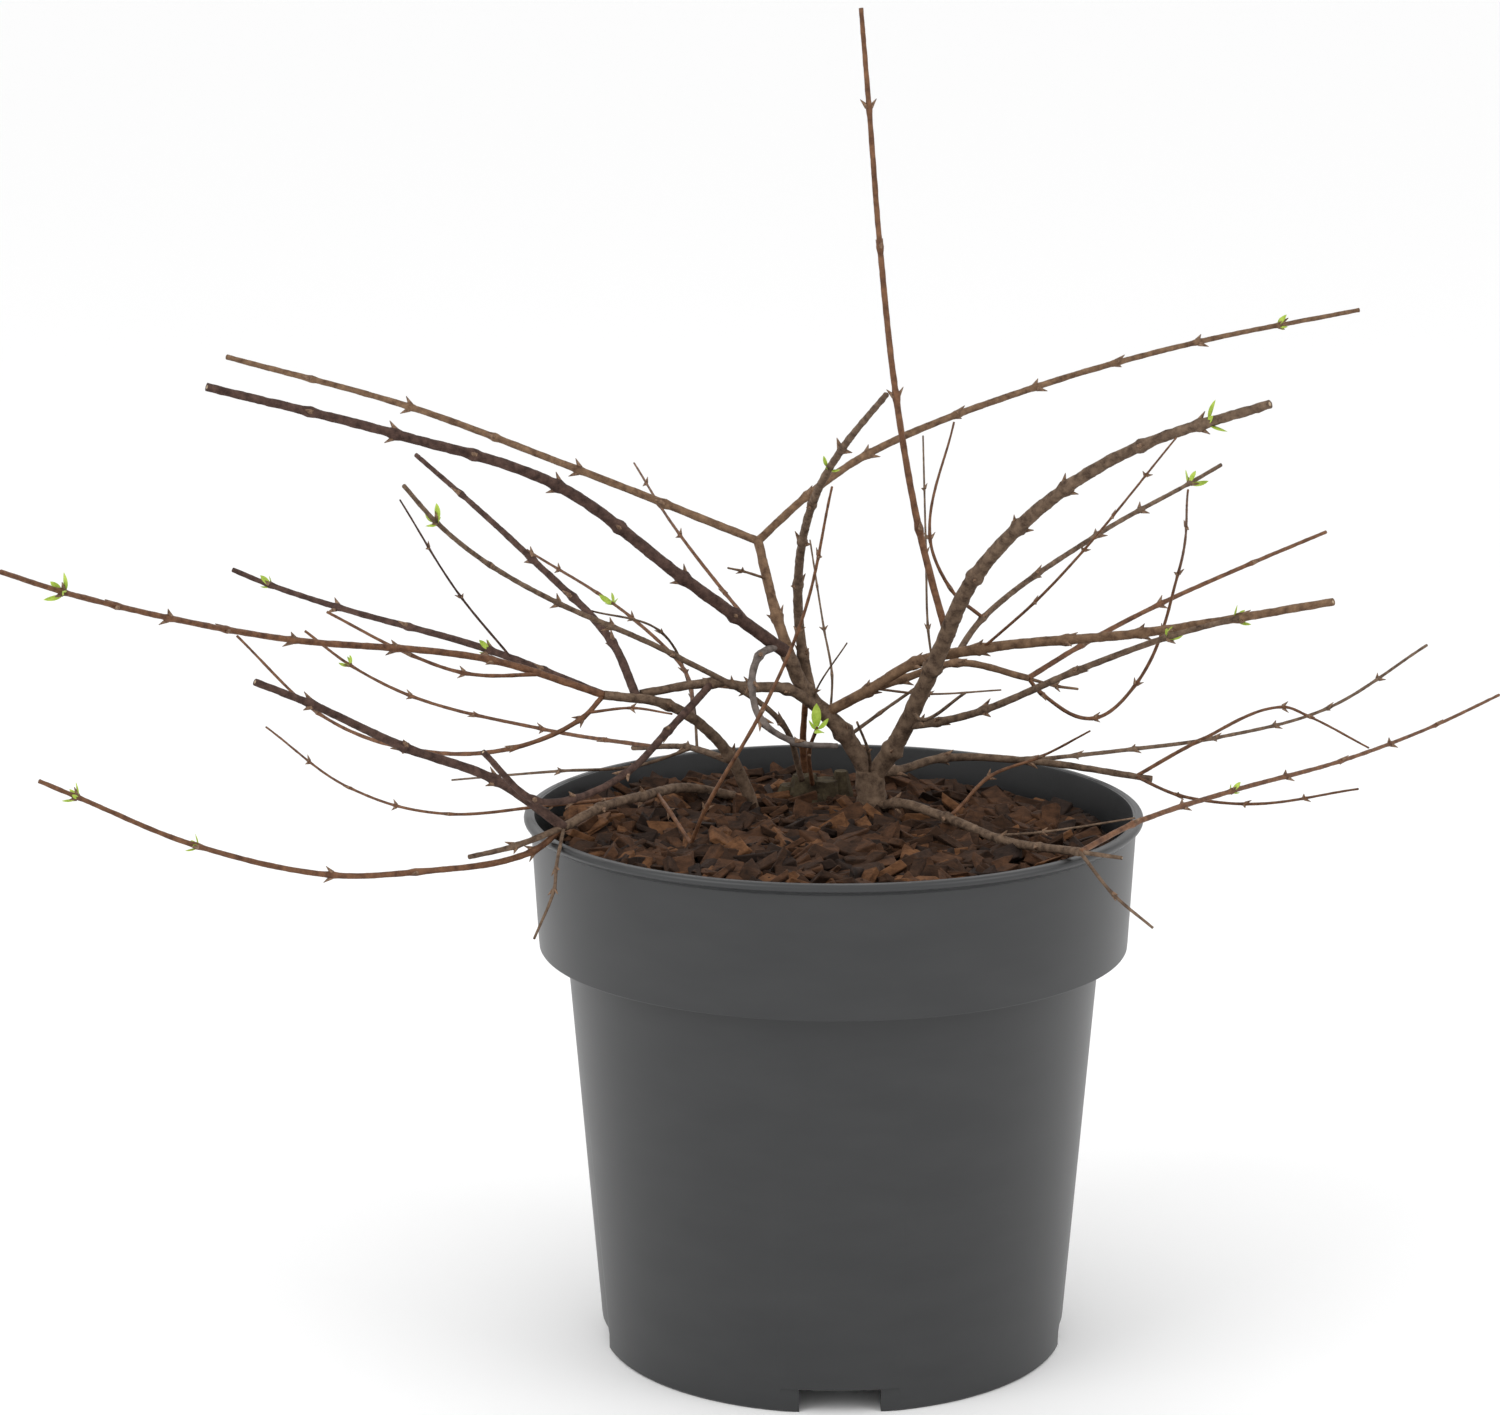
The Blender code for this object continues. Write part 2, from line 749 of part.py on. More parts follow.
def buds(run, others):
    """Opposite buds at the limb's nodes. One that would touch another limb is left out."""
    thick = run.limb.thick[0]
    if not BUD_THINNEST < thick < BUD_THICKEST:
        return []
    opened = [run.nearest(*place) for name, place, _ in OPEN_BUDS if name == run.limb.name]
    found = []
    for k, spot in enumerate(run.nodes):
        if any(abs(spot - other) < TIP_CLEAR for other in opened):
            continue
        ahead, ways = sides_of(run, spot, k)
        radius = run.radius(spot)
        centre = run.point(spot)
        for way in ways:
            point = centre + way * (radius + BUD_REACH * MM) + ahead * BUD_LENGTH * MM
            bark = centre + way * radius
            free = min(clearance(p, other) for p in (bark, point) for other in others) > BUD_CLEAR * MM
            over_chips = math.hypot(point.x, point.y) < RIM_RADIUS * MM and point.z < (RIM_TOP + 2) * MM
            if free and not over_chips:
                found.append(bud(centre + way * radius * 0.2, point, BUD_WIDTH * MM + radius * 0.2))
    return found


def leaves(run, others):
    """The pair of leaves at each opened bud. One that would touch another limb is left out."""
    found = []
    for name, place, long in OPEN_BUDS:
        if name != run.limb.name:
            continue
        spot = run.nearest(*place)
        ahead, ways = sides_of(run, spot, 0)
        for way in ways:
            along = ahead * math.cos(LEAF_SPREAD) + way * math.sin(LEAF_SPREAD)
            base = run.point(spot) - along * LEAF_THICKNESS * MM
            ends = (base + along * long * MM / 2, base + along * long * MM)
            if min(clearance(p, other) for p in ends for other in others) > BUD_CLEAR * MM:
                found.append(leaf(base, along, way, long))
    return found


def runs_of_limbs():
    """Every limb's centre line, each starting on its parent's."""
    found = {}
    for limb in LIMBS:
        if limb.foot:
            start = Vector(limb.foot) * MM
        else:
            parent = found[limb.parent]
            start = parent.point(parent.nearest(*limb.root))
        found[limb.name] = Run(limb, start)
    return found


def stands(limb):
    """Whether the limb stands on the growing mix, where it is cut flat."""
    return bool(limb.foot) and limb.foot[2] == GROUND


def ground_cutter():
    """A slab whose top is the level that the stems stand on."""
    bm = bmesh.new()
    bmesh.ops.create_cube(bm, size=1)
    bmesh.ops.scale(bm, vec=Vector((200, 200, 60)) * MM, verts=bm.verts)
    bmesh.ops.translate(bm, vec=(0, 0, (GROUND - 30) * MM), verts=bm.verts)
    return object_from("ground", bm)


def body_name(limb):
    return limb.parent if limb.fused else limb.name


def near(one, other):
    """Whether two limbs come so close that one is cut clear of the other."""
    a = np.array(one.points)
    b = np.array(other.points)
    apart = np.linalg.norm(a[:, None] - b[None], axis=2)
    reach = max(one.radius(0), one.radius(one.long)) + max(other.radius(0), other.radius(other.long))
    return bool((apart < reach * KNUCKLE + NEAR * MM).any())


def add_limbs(runs):
    """Each limb with its side twigs, buds and leaves as one body, cut clear of the bodies before it."""
    bodies = [limb for limb in LIMBS if not limb.fused]
    done = []
    for limb in bodies:
        own = [runs[other.name] for other in LIMBS if body_name(other) == limb.name]
        rest = [run for run in runs.values() if run not in own]
        obj = limb_tube(own[0])
        pieces = [limb_tube(run) for run in own[1:]]
        for run in own:
            pieces += buds(run, rest) + leaves(run, rest)
        fuse(obj, pieces)
        cutters = [limb_tube(run, GAP) for run in done if any(near(run, mine) for mine in own)]
        if stands(limb):
            cutters.append(ground_cutter())
        elif limb.foot:
            cutters.append(stump("stump_sleeve", GAP))
        if cutters:
            carve(obj, cutters)
        keep_largest(obj)
        done += own
        finish_bark(obj, limb)


def finish_bark(obj, limb):
    young = any(word in limb.name for word in YOUNG)
    kind = "dead_bark" if "dead" in limb.name else "young_bark" if young else "old_bark"
    obj.data.materials.clear()
    obj.data.materials.append(material(kind, *BARKS[kind]))
    obj.data.shade_smooth()
    obj.data.set_sharp_from_angle(angle=math.radians(50))


def stump(name, wider=0.0):
    """The remains of an old stem beside the root crown, or the sleeve that keeps chips clear of it."""
    made = []
    for k, ((x, y), top, width, top_width) in enumerate(STUMP_LUMPS):
        low = Vector((x, y, GROUND)) * MM
        high = Vector((x, y - 1, top)) * MM
        rise = Vector((0, 0, wider))
        points = [low - rise, low.lerp(high, 0.7), high + rise]
        radii = [r * MM / 2 + wider * 1.1 for r in (width, width * 0.95, top_width)]
        made.append(tube(f"stump_lump_{k}", points, radii, 8))
    body, *others = made
    fuse(body, others)
    body.name = name
    return body


def add_stump():
    body = stump("old_stump")
    body.data.materials.append(material("mossy_bark", (0.085, 0.075, 0.045), 0.95))


def turned(name, profile, sides):
    """A solid turned about the vertical axis from (radius, height) corners in millimetres."""
    bm = bmesh.new()
    verts = [bm.verts.new((r * MM, 0, z * MM)) for r, z in profile]
    edges = [bm.edges.new(pair) for pair in zip(verts, verts[1:] + verts[:1])]
    bmesh.ops.spin(
        bm,
        geom=verts + edges,
        cent=(0, 0, 0),
        axis=(0, 0, 1),
        angle=math.tau,
        steps=sides,
        use_merge=False,
        use_duplicate=False,
    )
    bmesh.ops.remove_doubles(bm, verts=bm.verts, dist=MM * 0.01)
    bmesh.ops.recalc_face_normals(bm, faces=bm.faces)
    return object_from(name, bm)


def wall_inside(z):
    """The container's inner radius at a height, in millimetres."""
    if z < SHOULDER + WALL:
        return BASE_RADIUS + (BODY_SHOULDER_RADIUS - BASE_RADIUS) * z / SHOULDER - WALL
    share = (z - COLLAR_FOOT) / (RIM_TOP - COLLAR_FOOT)
    return COLLAR_FOOT_RADIUS + (COLLAR_TOP_RADIUS - COLLAR_FOOT_RADIUS) * share - WALL


def bead_profile():
    """The rounded outer side of the rim, from the collar up to the lip."""
    middle = RIM_RADIUS - RIM_BEAD / 2
    centre = RIM_TOP - RIM_BEAD / 2
    turns = [math.radians(a) for a in (-70, -25, 25, 65, 90)]
    return [(middle + RIM_BEAD / 2 * math.cos(a), centre + RIM_BEAD / 2 * math.sin(a)) for a in turns]


def add_pot():
    """The container: foot ring, tapering body, stepped collar and beaded rim."""
    inner_foot = BASE_RADIUS - FOOT_RING
    profile = [
        (2 * DRAIN_RADIUS, FLOOR_LEVEL),
        (inner_foot - EDGE, FLOOR_LEVEL),
        (inner_foot, 0),
        (BASE_RADIUS - EDGE, 0),
        (BASE_RADIUS, EDGE),
        (BODY_SHOULDER_RADIUS, SHOULDER),
        (COLLAR_FOOT_RADIUS - COLLAR_LIP - EDGE, SHOULDER + EDGE),
        (COLLAR_FOOT_RADIUS - COLLAR_LIP, COLLAR_FOOT),
        (COLLAR_FOOT_RADIUS, COLLAR_FOOT),
        (COLLAR_TOP_RADIUS, RIM_TOP - RIM_BEAD - EDGE),
        *bead_profile(),
        (wall_inside(RIM_TOP) + EDGE, RIM_TOP),
        (wall_inside(RIM_TOP), RIM_TOP - EDGE),
        (wall_inside(SHOULDER + 2 * WALL), SHOULDER + 2 * WALL),
        (wall_inside(SHOULDER), SHOULDER + WALL),
        (wall_inside(FLOOR_LEVEL + WALL), FLOOR_LEVEL + WALL),
        (2 * DRAIN_RADIUS, FLOOR_LEVEL + WALL),
    ]
    pot = turned("pot", profile, POT_SIDES)
    carve(pot, foot_cutters() + drain_cutters())
    pot.data.materials.append(material("pot_plastic", (0.052, 0.054, 0.058), 0.48))
    pot.data.shade_smooth()
    pot.data.set_sharp_from_angle(angle=math.radians(30))


def prism(name, corners, depth):
    """A bar along +Y from corners in its end plane, all in millimetres."""
    bm = bmesh.new()
    face = bm.faces.new([bm.verts.new((x * MM, 0, z * MM)) for x, z in corners])
    grown = bmesh.ops.extrude_face_region(bm, geom=[face])
    moved = [v for v in grown["geom"] if isinstance(v, bmesh.types.BMVert)]
    bmesh.ops.translate(bm, verts=moved, vec=(0, depth * MM, 0))
    bmesh.ops.recalc_face_normals(bm, faces=bm.faces)
    return object_from(name, bm)


def foot_cutters():
    """At each notch a shallow sloping-sided recess, and the square opening through the ring."""
    slope = (NOTCH_GROUND_WIDTH - NOTCH_TOP_WIDTH) / 2 / NOTCH_HEIGHT
    low = NOTCH_GROUND_WIDTH / 2 + slope
    high = NOTCH_TOP_WIDTH / 2
    half = OPENING_WIDTH / 2
    recess_corners = [(-low, -1), (low, -1), (high, NOTCH_HEIGHT), (-high, NOTCH_HEIGHT)]
    opening_corners = [(-half, -1), (half, -1), (half, NOTCH_HEIGHT), (-half, NOTCH_HEIGHT)]
    made = []
    for k in range(NOTCH_COUNT):
        turn = NOTCH_TURN + k * math.tau / NOTCH_COUNT
        recess = prism("recess", recess_corners, RECESS_REACH)
        opening = prism("opening", opening_corners, OPENING_REACH)
        for cutter, reach in ((recess, BASE_RADIUS - NOTCH_DEPTH), (opening, BASE_RADIUS - OPENING_REACH / 2)):
            cutter.rotation_euler = Euler((0, 0, turn + math.pi))
            cutter.location = Vector((math.sin(turn), -math.cos(turn), 0)) * reach * MM
            made.append(cutter)
    return made


def drain_cutters():
    """Upright pegs through the raised floor."""
    made = []
    for k in range(DRAIN_COUNT):
        turn = (k + 0.5) * math.tau / DRAIN_COUNT
        bm = bmesh.new()
        bmesh.ops.create_cone(
            bm,
            cap_ends=True,
            segments=DRAIN_SIDES,
            radius1=DRAIN_RADIUS * MM,
            radius2=DRAIN_RADIUS * MM,
            depth=6 * WALL * MM,
        )
        peg = object_from("drain", bm)
        peg.location = Vector((math.cos(turn), math.sin(turn), 0)) * DRAIN_CIRCLE * MM
        peg.location.z = (FLOOR_LEVEL + WALL / 2) * MM
        made.append(peg)
    return made


def add_growing_mix():
    """What the container is filled with, up to the level that the stems stand on."""
    gap = GAP / MM
    low = FLOOR_LEVEL + WALL + gap
    step = SHOULDER + 2 * WALL + gap
    top = GROUND - gap
    profile = [
        (0, low),
        (wall_inside(low) - gap, low),
        (wall_inside(SHOULDER) - gap, SHOULDER + WALL),
        (wall_inside(SHOULDER) - gap, step),
        (wall_inside(step) - 2 * gap, step),
        (wall_inside(top) - gap, top),
        (0, top),
    ]
    mix = turned("growing_mix", profile, POT_SIDES)
    mix.data.materials.append(material("growing_mix", (0.030, 0.019, 0.012), 0.95))


def mulch_height(x, y, low_points):
    """The chips' level in millimetres, lower at the back right, and sunk under a limb that lies on it."""
    fall = math.cos(math.atan2(y, x) - MULCH_FALL_HEADING) * math.hypot(x, y) / MULCH_RADIUS
    level = MULCH_TOP - MULCH_FALL * max(0.0, fall) + MULCH_RISE * max(0.0, -fall)
    for point, radius in low_points:
        if math.hypot(point[0] - x, point[1] - y) < radius + FURROW:
            level = min(level, point[2] - radius - MULCH_CLEAR)
    return level


def resting_points(runs):
    """(place, radius) in millimetres along the limbs that pass low over the chips."""
    found = []
    for run in runs.values():
        for place, along in zip(run.points, run.along):
            spot = place / MM
            rising = stands(run.limb) and along < RISING_LENGTH
            if spot[2] < RIM_TOP + 6 and math.hypot(spot[0], spot[1]) < RIM_RADIUS and not rising:
                found.append((spot, run.radius(along) / MM * KNUCKLE))
    return found


def chip(rng, x, y, z):
    """One chip of bark: a slab with uneven corners, tilted as it fell, and those corners."""
    size = Vector((rng.uniform(13, 24), rng.uniform(6, 11), rng.uniform(2.4, 4.0)))
    bm = bmesh.new()
    bmesh.ops.create_cube(bm, size=1)
    bmesh.ops.scale(bm, vec=size * MM, verts=bm.verts)
    for vert in bm.verts:
        vert.co += Vector([rng.uniform(-1, 1) * shift for shift in CHIP_SHIFT]) * MM
    turn = Euler((rng.uniform(-CHIP_TILT, CHIP_TILT), rng.uniform(-CHIP_TILT, CHIP_TILT), rng.uniform(0, math.pi)))
    bmesh.ops.rotate(bm, verts=bm.verts, matrix=turn.to_matrix())
    bmesh.ops.translate(bm, verts=bm.verts, vec=Vector((x, y, z)) * MM)
    bmesh.ops.recalc_face_normals(bm, faces=bm.faces)
    corners = [v.co.copy() for v in bm.verts]
    return object_from("chip", bm), corners


def mulch_bed(rng, low_points):
    """The uneven bed of chips, flat below, as rings of points round its centre."""
    bm = bmesh.new()
    bottom = bm.verts.new((0, 0, GROUND * MM))
    centre = bm.verts.new((0, 0, mulch_height(0, 0, low_points) * MM))
    rings = []
    for ring in range(1, MULCH_RINGS + 1):
        row = []
        for spoke in range(MULCH_SPOKES):
            turn = (spoke + 0.5 * (ring % 2)) * math.tau / MULCH_SPOKES
            reach = MULCH_RADIUS * ring / MULCH_RINGS
            x = reach * math.cos(turn)
            y = reach * math.sin(turn)
            z = mulch_height(x, y, low_points) - rng.uniform(0, MULCH_UNEVEN)
            row.append(bm.verts.new((x * MM, y * MM, z * MM)))
        rings.append(row)
    rings.append([bm.verts.new((v.co.x, v.co.y, GROUND * MM)) for v in rings[-1]])
    for k in range(MULCH_SPOKES):
        after = (k + 1) % MULCH_SPOKES
        bm.faces.new((centre, rings[0][k], rings[0][after]))
        bm.faces.new((bottom, rings[-1][after], rings[-1][k]))
        for inner, outer in zip(rings, rings[1:]):
            bm.faces.new((inner[k], outer[k], outer[after], inner[after]))
    bmesh.ops.triangulate(bm, faces=bm.faces)
    bmesh.ops.recalc_face_normals(bm, faces=bm.faces)
    return object_from("bark_mulch", bm)


def add_mulch(runs):
    """The layer of bark chips: an uneven bed with larger chips standing out of it."""
    rng = random.Random(SEED)
    low_points = resting_points(runs)
    bed = mulch_bed(rng, low_points)
    fuse(bed, chips(rng, runs, low_points))
    cutters = [limb_tube(runs[name], GAP) for name in ("root_crown", "left_stem", "low_stem")]
    carve(bed, cutters + [stump("stump_sleeve", GAP)])
    keep_largest(bed)
    bed.data.materials.append(material("bark_chips", (0.085, 0.035, 0.020), 0.88))


def chips(rng, runs, low_points):
    """Chips scattered evenly, none of them touching a limb, the stump or the wall."""
    stump_x, stump_y = STUMP_LUMPS[1][0]
    made = []
    spots = []
    for _ in range(CHIP_TRIES):
        if len(made) == CHIP_COUNT:
            break
        reach = (MULCH_RADIUS - 12) * math.sqrt(rng.random())
        turn = rng.uniform(0, math.tau)
        x = reach * math.cos(turn)
        y = reach * math.sin(turn)
        crowded = any(math.hypot(x - a, y - b) < CHIP_SPACING for a, b in spots)
        if crowded or math.hypot(x - stump_x, y - stump_y) < STUMP_CLEAR:
            continue
        obj, corners = chip(rng, x, y, mulch_height(x, y, low_points) + 0.2)
        reaches = max(math.hypot(c.x, c.y) for c in corners) / MM
        places = corners + [sum(corners, Vector()) / len(corners)]
        free = min(clearance(place, run) for place in places for run in runs.values()) > CHIP_CLEAR * MM
        if reaches > MULCH_RADIUS or not free:
            bpy.data.objects.remove(obj)
            continue
        spots.append((x, y))
        made.append(obj)
    return made


def main():
    clear_scene()
    runs = runs_of_limbs()
    add_pot()
    add_growing_mix()
    add_stump()
    add_mulch(runs)
    add_limbs(runs)


main()
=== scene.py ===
"""The looks of a bare potted beautybush: bark, buds, opening leaves, bark chips and container."""

import json
import logging
import math
import random
from dataclasses import dataclass, field
from enum import Enum, IntEnum
from typing import NamedTuple

import bmesh
import bpy
import numpy as np
from mathutils import Euler, Matrix, Vector, noise
from mathutils.geometry import interpolate_bezier

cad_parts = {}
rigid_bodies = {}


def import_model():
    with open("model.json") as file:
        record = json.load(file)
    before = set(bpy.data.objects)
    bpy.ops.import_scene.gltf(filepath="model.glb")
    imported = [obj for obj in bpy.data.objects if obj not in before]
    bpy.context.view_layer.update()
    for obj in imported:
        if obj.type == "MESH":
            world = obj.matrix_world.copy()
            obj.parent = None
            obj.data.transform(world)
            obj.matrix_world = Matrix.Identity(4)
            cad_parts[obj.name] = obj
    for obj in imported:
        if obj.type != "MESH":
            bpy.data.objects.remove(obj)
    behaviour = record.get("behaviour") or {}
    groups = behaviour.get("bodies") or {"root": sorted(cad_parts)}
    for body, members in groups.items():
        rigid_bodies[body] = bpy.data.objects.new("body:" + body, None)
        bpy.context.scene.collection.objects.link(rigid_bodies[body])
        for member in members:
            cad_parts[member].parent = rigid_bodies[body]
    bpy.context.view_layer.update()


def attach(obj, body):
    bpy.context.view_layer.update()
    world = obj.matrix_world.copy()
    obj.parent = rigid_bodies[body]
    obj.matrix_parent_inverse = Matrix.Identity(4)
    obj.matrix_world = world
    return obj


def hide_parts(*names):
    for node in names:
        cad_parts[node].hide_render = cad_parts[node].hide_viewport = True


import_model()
log = logging.getLogger("beautybush")

Pair = tuple[float, float]
Triple = tuple[float, float, float]

# Sizes here and in the classes are in millimetres unless they say otherwise
MM = 0.001
RIM_RADIUS = 115.0
RIM_TOP = 204.0
GROUND = 177.0
INTERNODE = 34.0
LONG_INTERNODE = 54.0
PATH_STEP = 1.3
FEWEST_POINTS = 3

# How the photograph was taken, in its frame of 1500 by 1415 pixels
PICTURE_WIDTH = 1500
SENSOR = 36.0
MIDDLE = (750.0, 707.5)
FOCAL = 4001.0
CAMERA_PLACE = Vector((0, -1.450, 0.5453))
CAMERA_DOWN = math.radians(11.79)
CAMERA_LEFT = math.radians(1.22)
CAMERA_ROLL = math.radians(-0.12)
CAMERA_TURN = (
    Matrix.Rotation(CAMERA_LEFT, 3, "Z")
    @ Matrix.Rotation(math.pi / 2 - CAMERA_DOWN, 3, "X")
    @ Matrix.Rotation(CAMERA_ROLL, 3, "Z")
)


@dataclass
class Sum:
    """A socket whose values can be added and multiplied in an expression."""

    paint: "Paint"
    socket: bpy.types.NodeSocket

    def _math(self, operation: str, first: object, second: object) -> "Sum":
        """One Math node on two values."""
        return self.paint.node("ShaderNodeMath", {"operation": operation}, {0: first, 1: second})

    def __add__(self, other: object) -> "Sum":
        """The sum."""
        return self._math("ADD", self, other)

    def __mul__(self, other: object) -> "Sum":
        """The product."""
        return self._math("MULTIPLY", self, other)

    def __rsub__(self, other: object) -> "Sum":
        """What is left of the other value."""
        return self._math("SUBTRACT", other, self)

    __radd__ = __add__
    __rmul__ = __mul__


class Paint:
    """A material under construction, with one method that makes its nodes."""

    def __init__(self, name: str) -> None:
        """Starts from a Principled shader.

        Args:
            name: The material's name.
        """
        self.material = bpy.data.materials.new(name)
        self.material.use_nodes = True
        self.tree = self.material.node_tree
        self.shader = self.tree.nodes["Principled BSDF"]

    def node(self, kind: str, settings: dict, values: dict, out: int | str = 0) -> Sum:
        """Makes a node.

        Args:
            kind: The node's type.
            settings: Its properties, with "stops" for a ramp.
            values: Its sockets' values or links.
            out: The output that is passed on.

        Returns:
            The output as a Sum.
        """
        made = self.tree.nodes.new(kind)
        for key, value in settings.items():
            if key == "stops":
                for element, (spot, colour) in zip(made.color_ramp.elements, value):
                    element.position = spot
                    element.color = (*colour, 1)
            else:
                setattr(made, key, value)
        for key, value in values.items():
            self.put(made.inputs[key], value)
        return Sum(self, made.outputs[out])

    def put(self, socket: bpy.types.NodeSocket, value: object) -> None:
        """Sets a socket or links it.

        Args:
            socket: The socket.
            value: A Sum to link, or a plain value to set.
        """
        if isinstance(value, Sum):
            self.tree.links.new(value.socket, socket)
        else:
            socket.default_value = value

    def grain(self, scale: float, detail: float, stretch: Triple = (1, 1, 1)) -> Sum:
        """Makes noise on Object coordinates.

        Args:
            scale: The noise's scale.
            detail: How many finer layers it has.
            stretch: How far the pattern is squeezed along each axis.

        Returns:
            The noise's value.
        """
        place = self.node("ShaderNodeTexCoord", {}, {}, "Object")
        turned = self.node("ShaderNodeMapping", {}, {"Vector": place, "Scale": stretch})
        return self.node("ShaderNodeTexNoise", {}, {"Vector": turned, "Scale": scale, "Detail": detail})

    def finish(
        self,
        colour: object,
        roughness: object,
        height: Sum | None = None,
        strength: float = 0.4,
        distance: float = 0.0004,
    ) -> bpy.types.Material:
        """Links the colour, the roughness and a bump.

        Args:
            colour: The base colour.
            roughness: The roughness.
            height: The bump's height, or None for a smooth surface.
            strength: The bump's strength.
            distance: The bump's depth in metres.

        Returns:
            The material.
        """
        self.put(self.shader.inputs["Base Color"], colour)
        self.put(self.shader.inputs["Roughness"], roughness)
        if height is not None:
            values = {"Strength": strength, "Distance": distance, "Height": height}
            self.put(self.shader.inputs["Normal"], self.node("ShaderNodeBump", {}, values, "Normal"))
        return self.material


@dataclass(frozen=True)
class TwoTone:
    """A finish that wanders between two colours, with a broad and a fine grain."""

    name: str
    dark: Triple
    light: Triple
    roughness: float
    scale: float
    strength: float = 0.5
    spread: Pair = (0.32, 0.68)
    stretch: Triple = (1, 1, 1)
    shine: float = 0.18
    finer: float = 5
    broad_detail: float = 6.0
    fine_detail: float = 3.0
    broad_share: float = 0.75
    dull_rise: float = 0.08

    def make(self) -> bpy.types.Material:
        """Makes the material.

        Returns:
            The material.
        """
        paint = Paint(self.name)
        paint.put(paint.shader.inputs["Specular IOR Level"], self.shine)
        broad = paint.grain(self.scale, self.broad_detail, self.stretch)
        fine = paint.grain(self.scale * self.finer, self.fine_detail, self.stretch)
        tone = broad * self.broad_share + fine * (1 - self.broad_share)
        stops = [(self.spread[0], self.dark), (self.spread[1], self.light)]
        colour = paint.node("ShaderNodeValToRGB", {"stops": stops}, {"Fac": tone})
        roughness = self.roughness + (1 - broad) * self.dull_rise
        return paint.finish(colour, roughness, broad * 0.5 + fine * 0.5, self.strength)


@dataclass(frozen=True)
class SatinPlastic:
    """Charcoal satin plastic with a fine skin, its depth in metres, and faint level scuffs."""

    name: str = "charcoal_plastic"
    dark: Triple = (0.0185, 0.0195, 0.0205)
    light: Triple = (0.0235, 0.0245, 0.0255)
    spread: Pair = (0.35, 0.75)
    roughness: float = 0.36
    scuff_rise: float = 0.06
    scuff_scale: float = 30.0
    scuff_detail: float = 8.0
    scuff_stretch: Triple = (1, 1, 3)
    skin_scale: float = 1800.0
    skin_detail: float = 2.0
    skin_strength: float = 0.12
    skin_depth: float = 0.0001

    def make(self) -> bpy.types.Material:
        """Makes the material.

        Returns:
            The material.
        """
        paint = Paint(self.name)
        skin = paint.grain(self.skin_scale, self.skin_detail)
        scuff = paint.grain(self.scuff_scale, self.scuff_detail, self.scuff_stretch)
        stops = [(self.spread[0], self.dark), (self.spread[1], self.light)]
        colour = paint.node("ShaderNodeValToRGB", {"stops": stops}, {"Fac": scuff})
        roughness = self.roughness + scuff * self.scuff_rise
        return paint.finish(colour, roughness, skin, self.skin_strength, self.skin_depth)


class Bark(Enum):
    """The kinds of bark that the limbs wear, each with its finish."""

    OLD = TwoTone("bark_old", (0.045, 0.027, 0.018), (0.20, 0.135, 0.090), 0.82, 330.0, 0.9)
    DARK = TwoTone("bark_dark", (0.026, 0.014, 0.011), (0.105, 0.060, 0.046), 0.75, 330.0, 0.7)
    TAN = TwoTone("bark_tan", (0.066, 0.034, 0.019), (0.230, 0.140, 0.080), 0.70, 330.0, 0.5)
    YOUNG = TwoTone("bark_young", (0.060, 0.025, 0.013), (0.200, 0.096, 0.048), 0.52, 330.0, 0.3)
    DEAD = TwoTone("bark_dead", (0.060, 0.048, 0.042), (0.200, 0.165, 0.145), 0.90, 330.0, 0.8)


class Skin(IntEnum):
    """The finishes on a limb's piece, in the order of its material slots."""

    BARK = 0
    BUD = 1
    CUT = 2
    LEAF = 3


BUD_SCALES = TwoTone("bud_scales", (0.05, 0.025, 0.015), (0.30, 0.19, 0.12), 0.7, 900.0)
CUT_WOOD = TwoTone("cut_wood", (0.30, 0.21, 0.13), (0.52, 0.42, 0.30), 0.8, 900.0)
YOUNG_LEAF = TwoTone("young_leaf", (0.26, 0.40, 0.035), (0.52, 0.66, 0.12), 0.45, 400.0, 0.2)
MOSSY_WOOD = TwoTone("mossy_stump", (0.022, 0.015, 0.009), (0.090, 0.070, 0.040), 0.95, 260.0, 1.0)
CRUMBLY_MIX = TwoTone("growing_mix", (0.012, 0.008, 0.005), (0.05, 0.03, 0.02), 0.95, 240.0)

DEAD_WORDS = ("dead", "dry")
YOUNG_WORDS = ("whip", "shoot", "twig", "vee", "orange", "fifth")
TAN_LIMBS = ("upper_left_bough", "upper_right_bough", "pale_limb", "middle_right_limb", "fork_limb")
DARK_LIMBS = ("thick_left_bough", "dark_left_bough", "low_left_limb", "bent_stem", "third_left_bough")
CUT_TIPS = (
    "right_trunk",
    "middle_right_limb",
    "thick_left_bough",
    "low_left_limb",
    "upper_left_bough",
    "front_stub",
    "bent_stem",
    "dark_left_bough",
    "third_left_bough",
    "upper_right_bough",
)


def new_object(name: str, bm: bmesh.types.BMesh) -> bpy.types.Object:
    """Makes an object of a bmesh and frees the bmesh.

    Args:
        name: The object's name.
        bm: Its shape.

    Returns:
        The object, linked to the scene.
    """
    mesh = bpy.data.meshes.new(name)
    bm.to_mesh(mesh)
    bm.free()
    made = bpy.data.objects.new(name, mesh)
    bpy.context.scene.collection.objects.link(made)
    return made


def mesh_of(source: bpy.types.Object) -> bpy.types.Mesh:
    """The mesh of an object as its curve or its modifiers shape it."""
    return bpy.data.meshes.new_from_object(source.evaluated_get(bpy.context.evaluated_depsgraph_get()))


def faces_of(verts: list[bmesh.types.BMVert]) -> set[bmesh.types.BMFace]:
    """The faces that some corners belong to."""
    return {face for vert in verts for face in vert.link_faces}


def place_piece(piece: bpy.types.Object, node: str) -> None:
    """Rides a piece on the plant's body in place of a node, and reports it.

    Args:
        piece: The new piece.
        node: The plain solid that it stands for, which it hides.
    """
    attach(piece, "root")
    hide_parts(node)
    log.info("%s: %d faces", piece.name, len(piece.data.polygons))


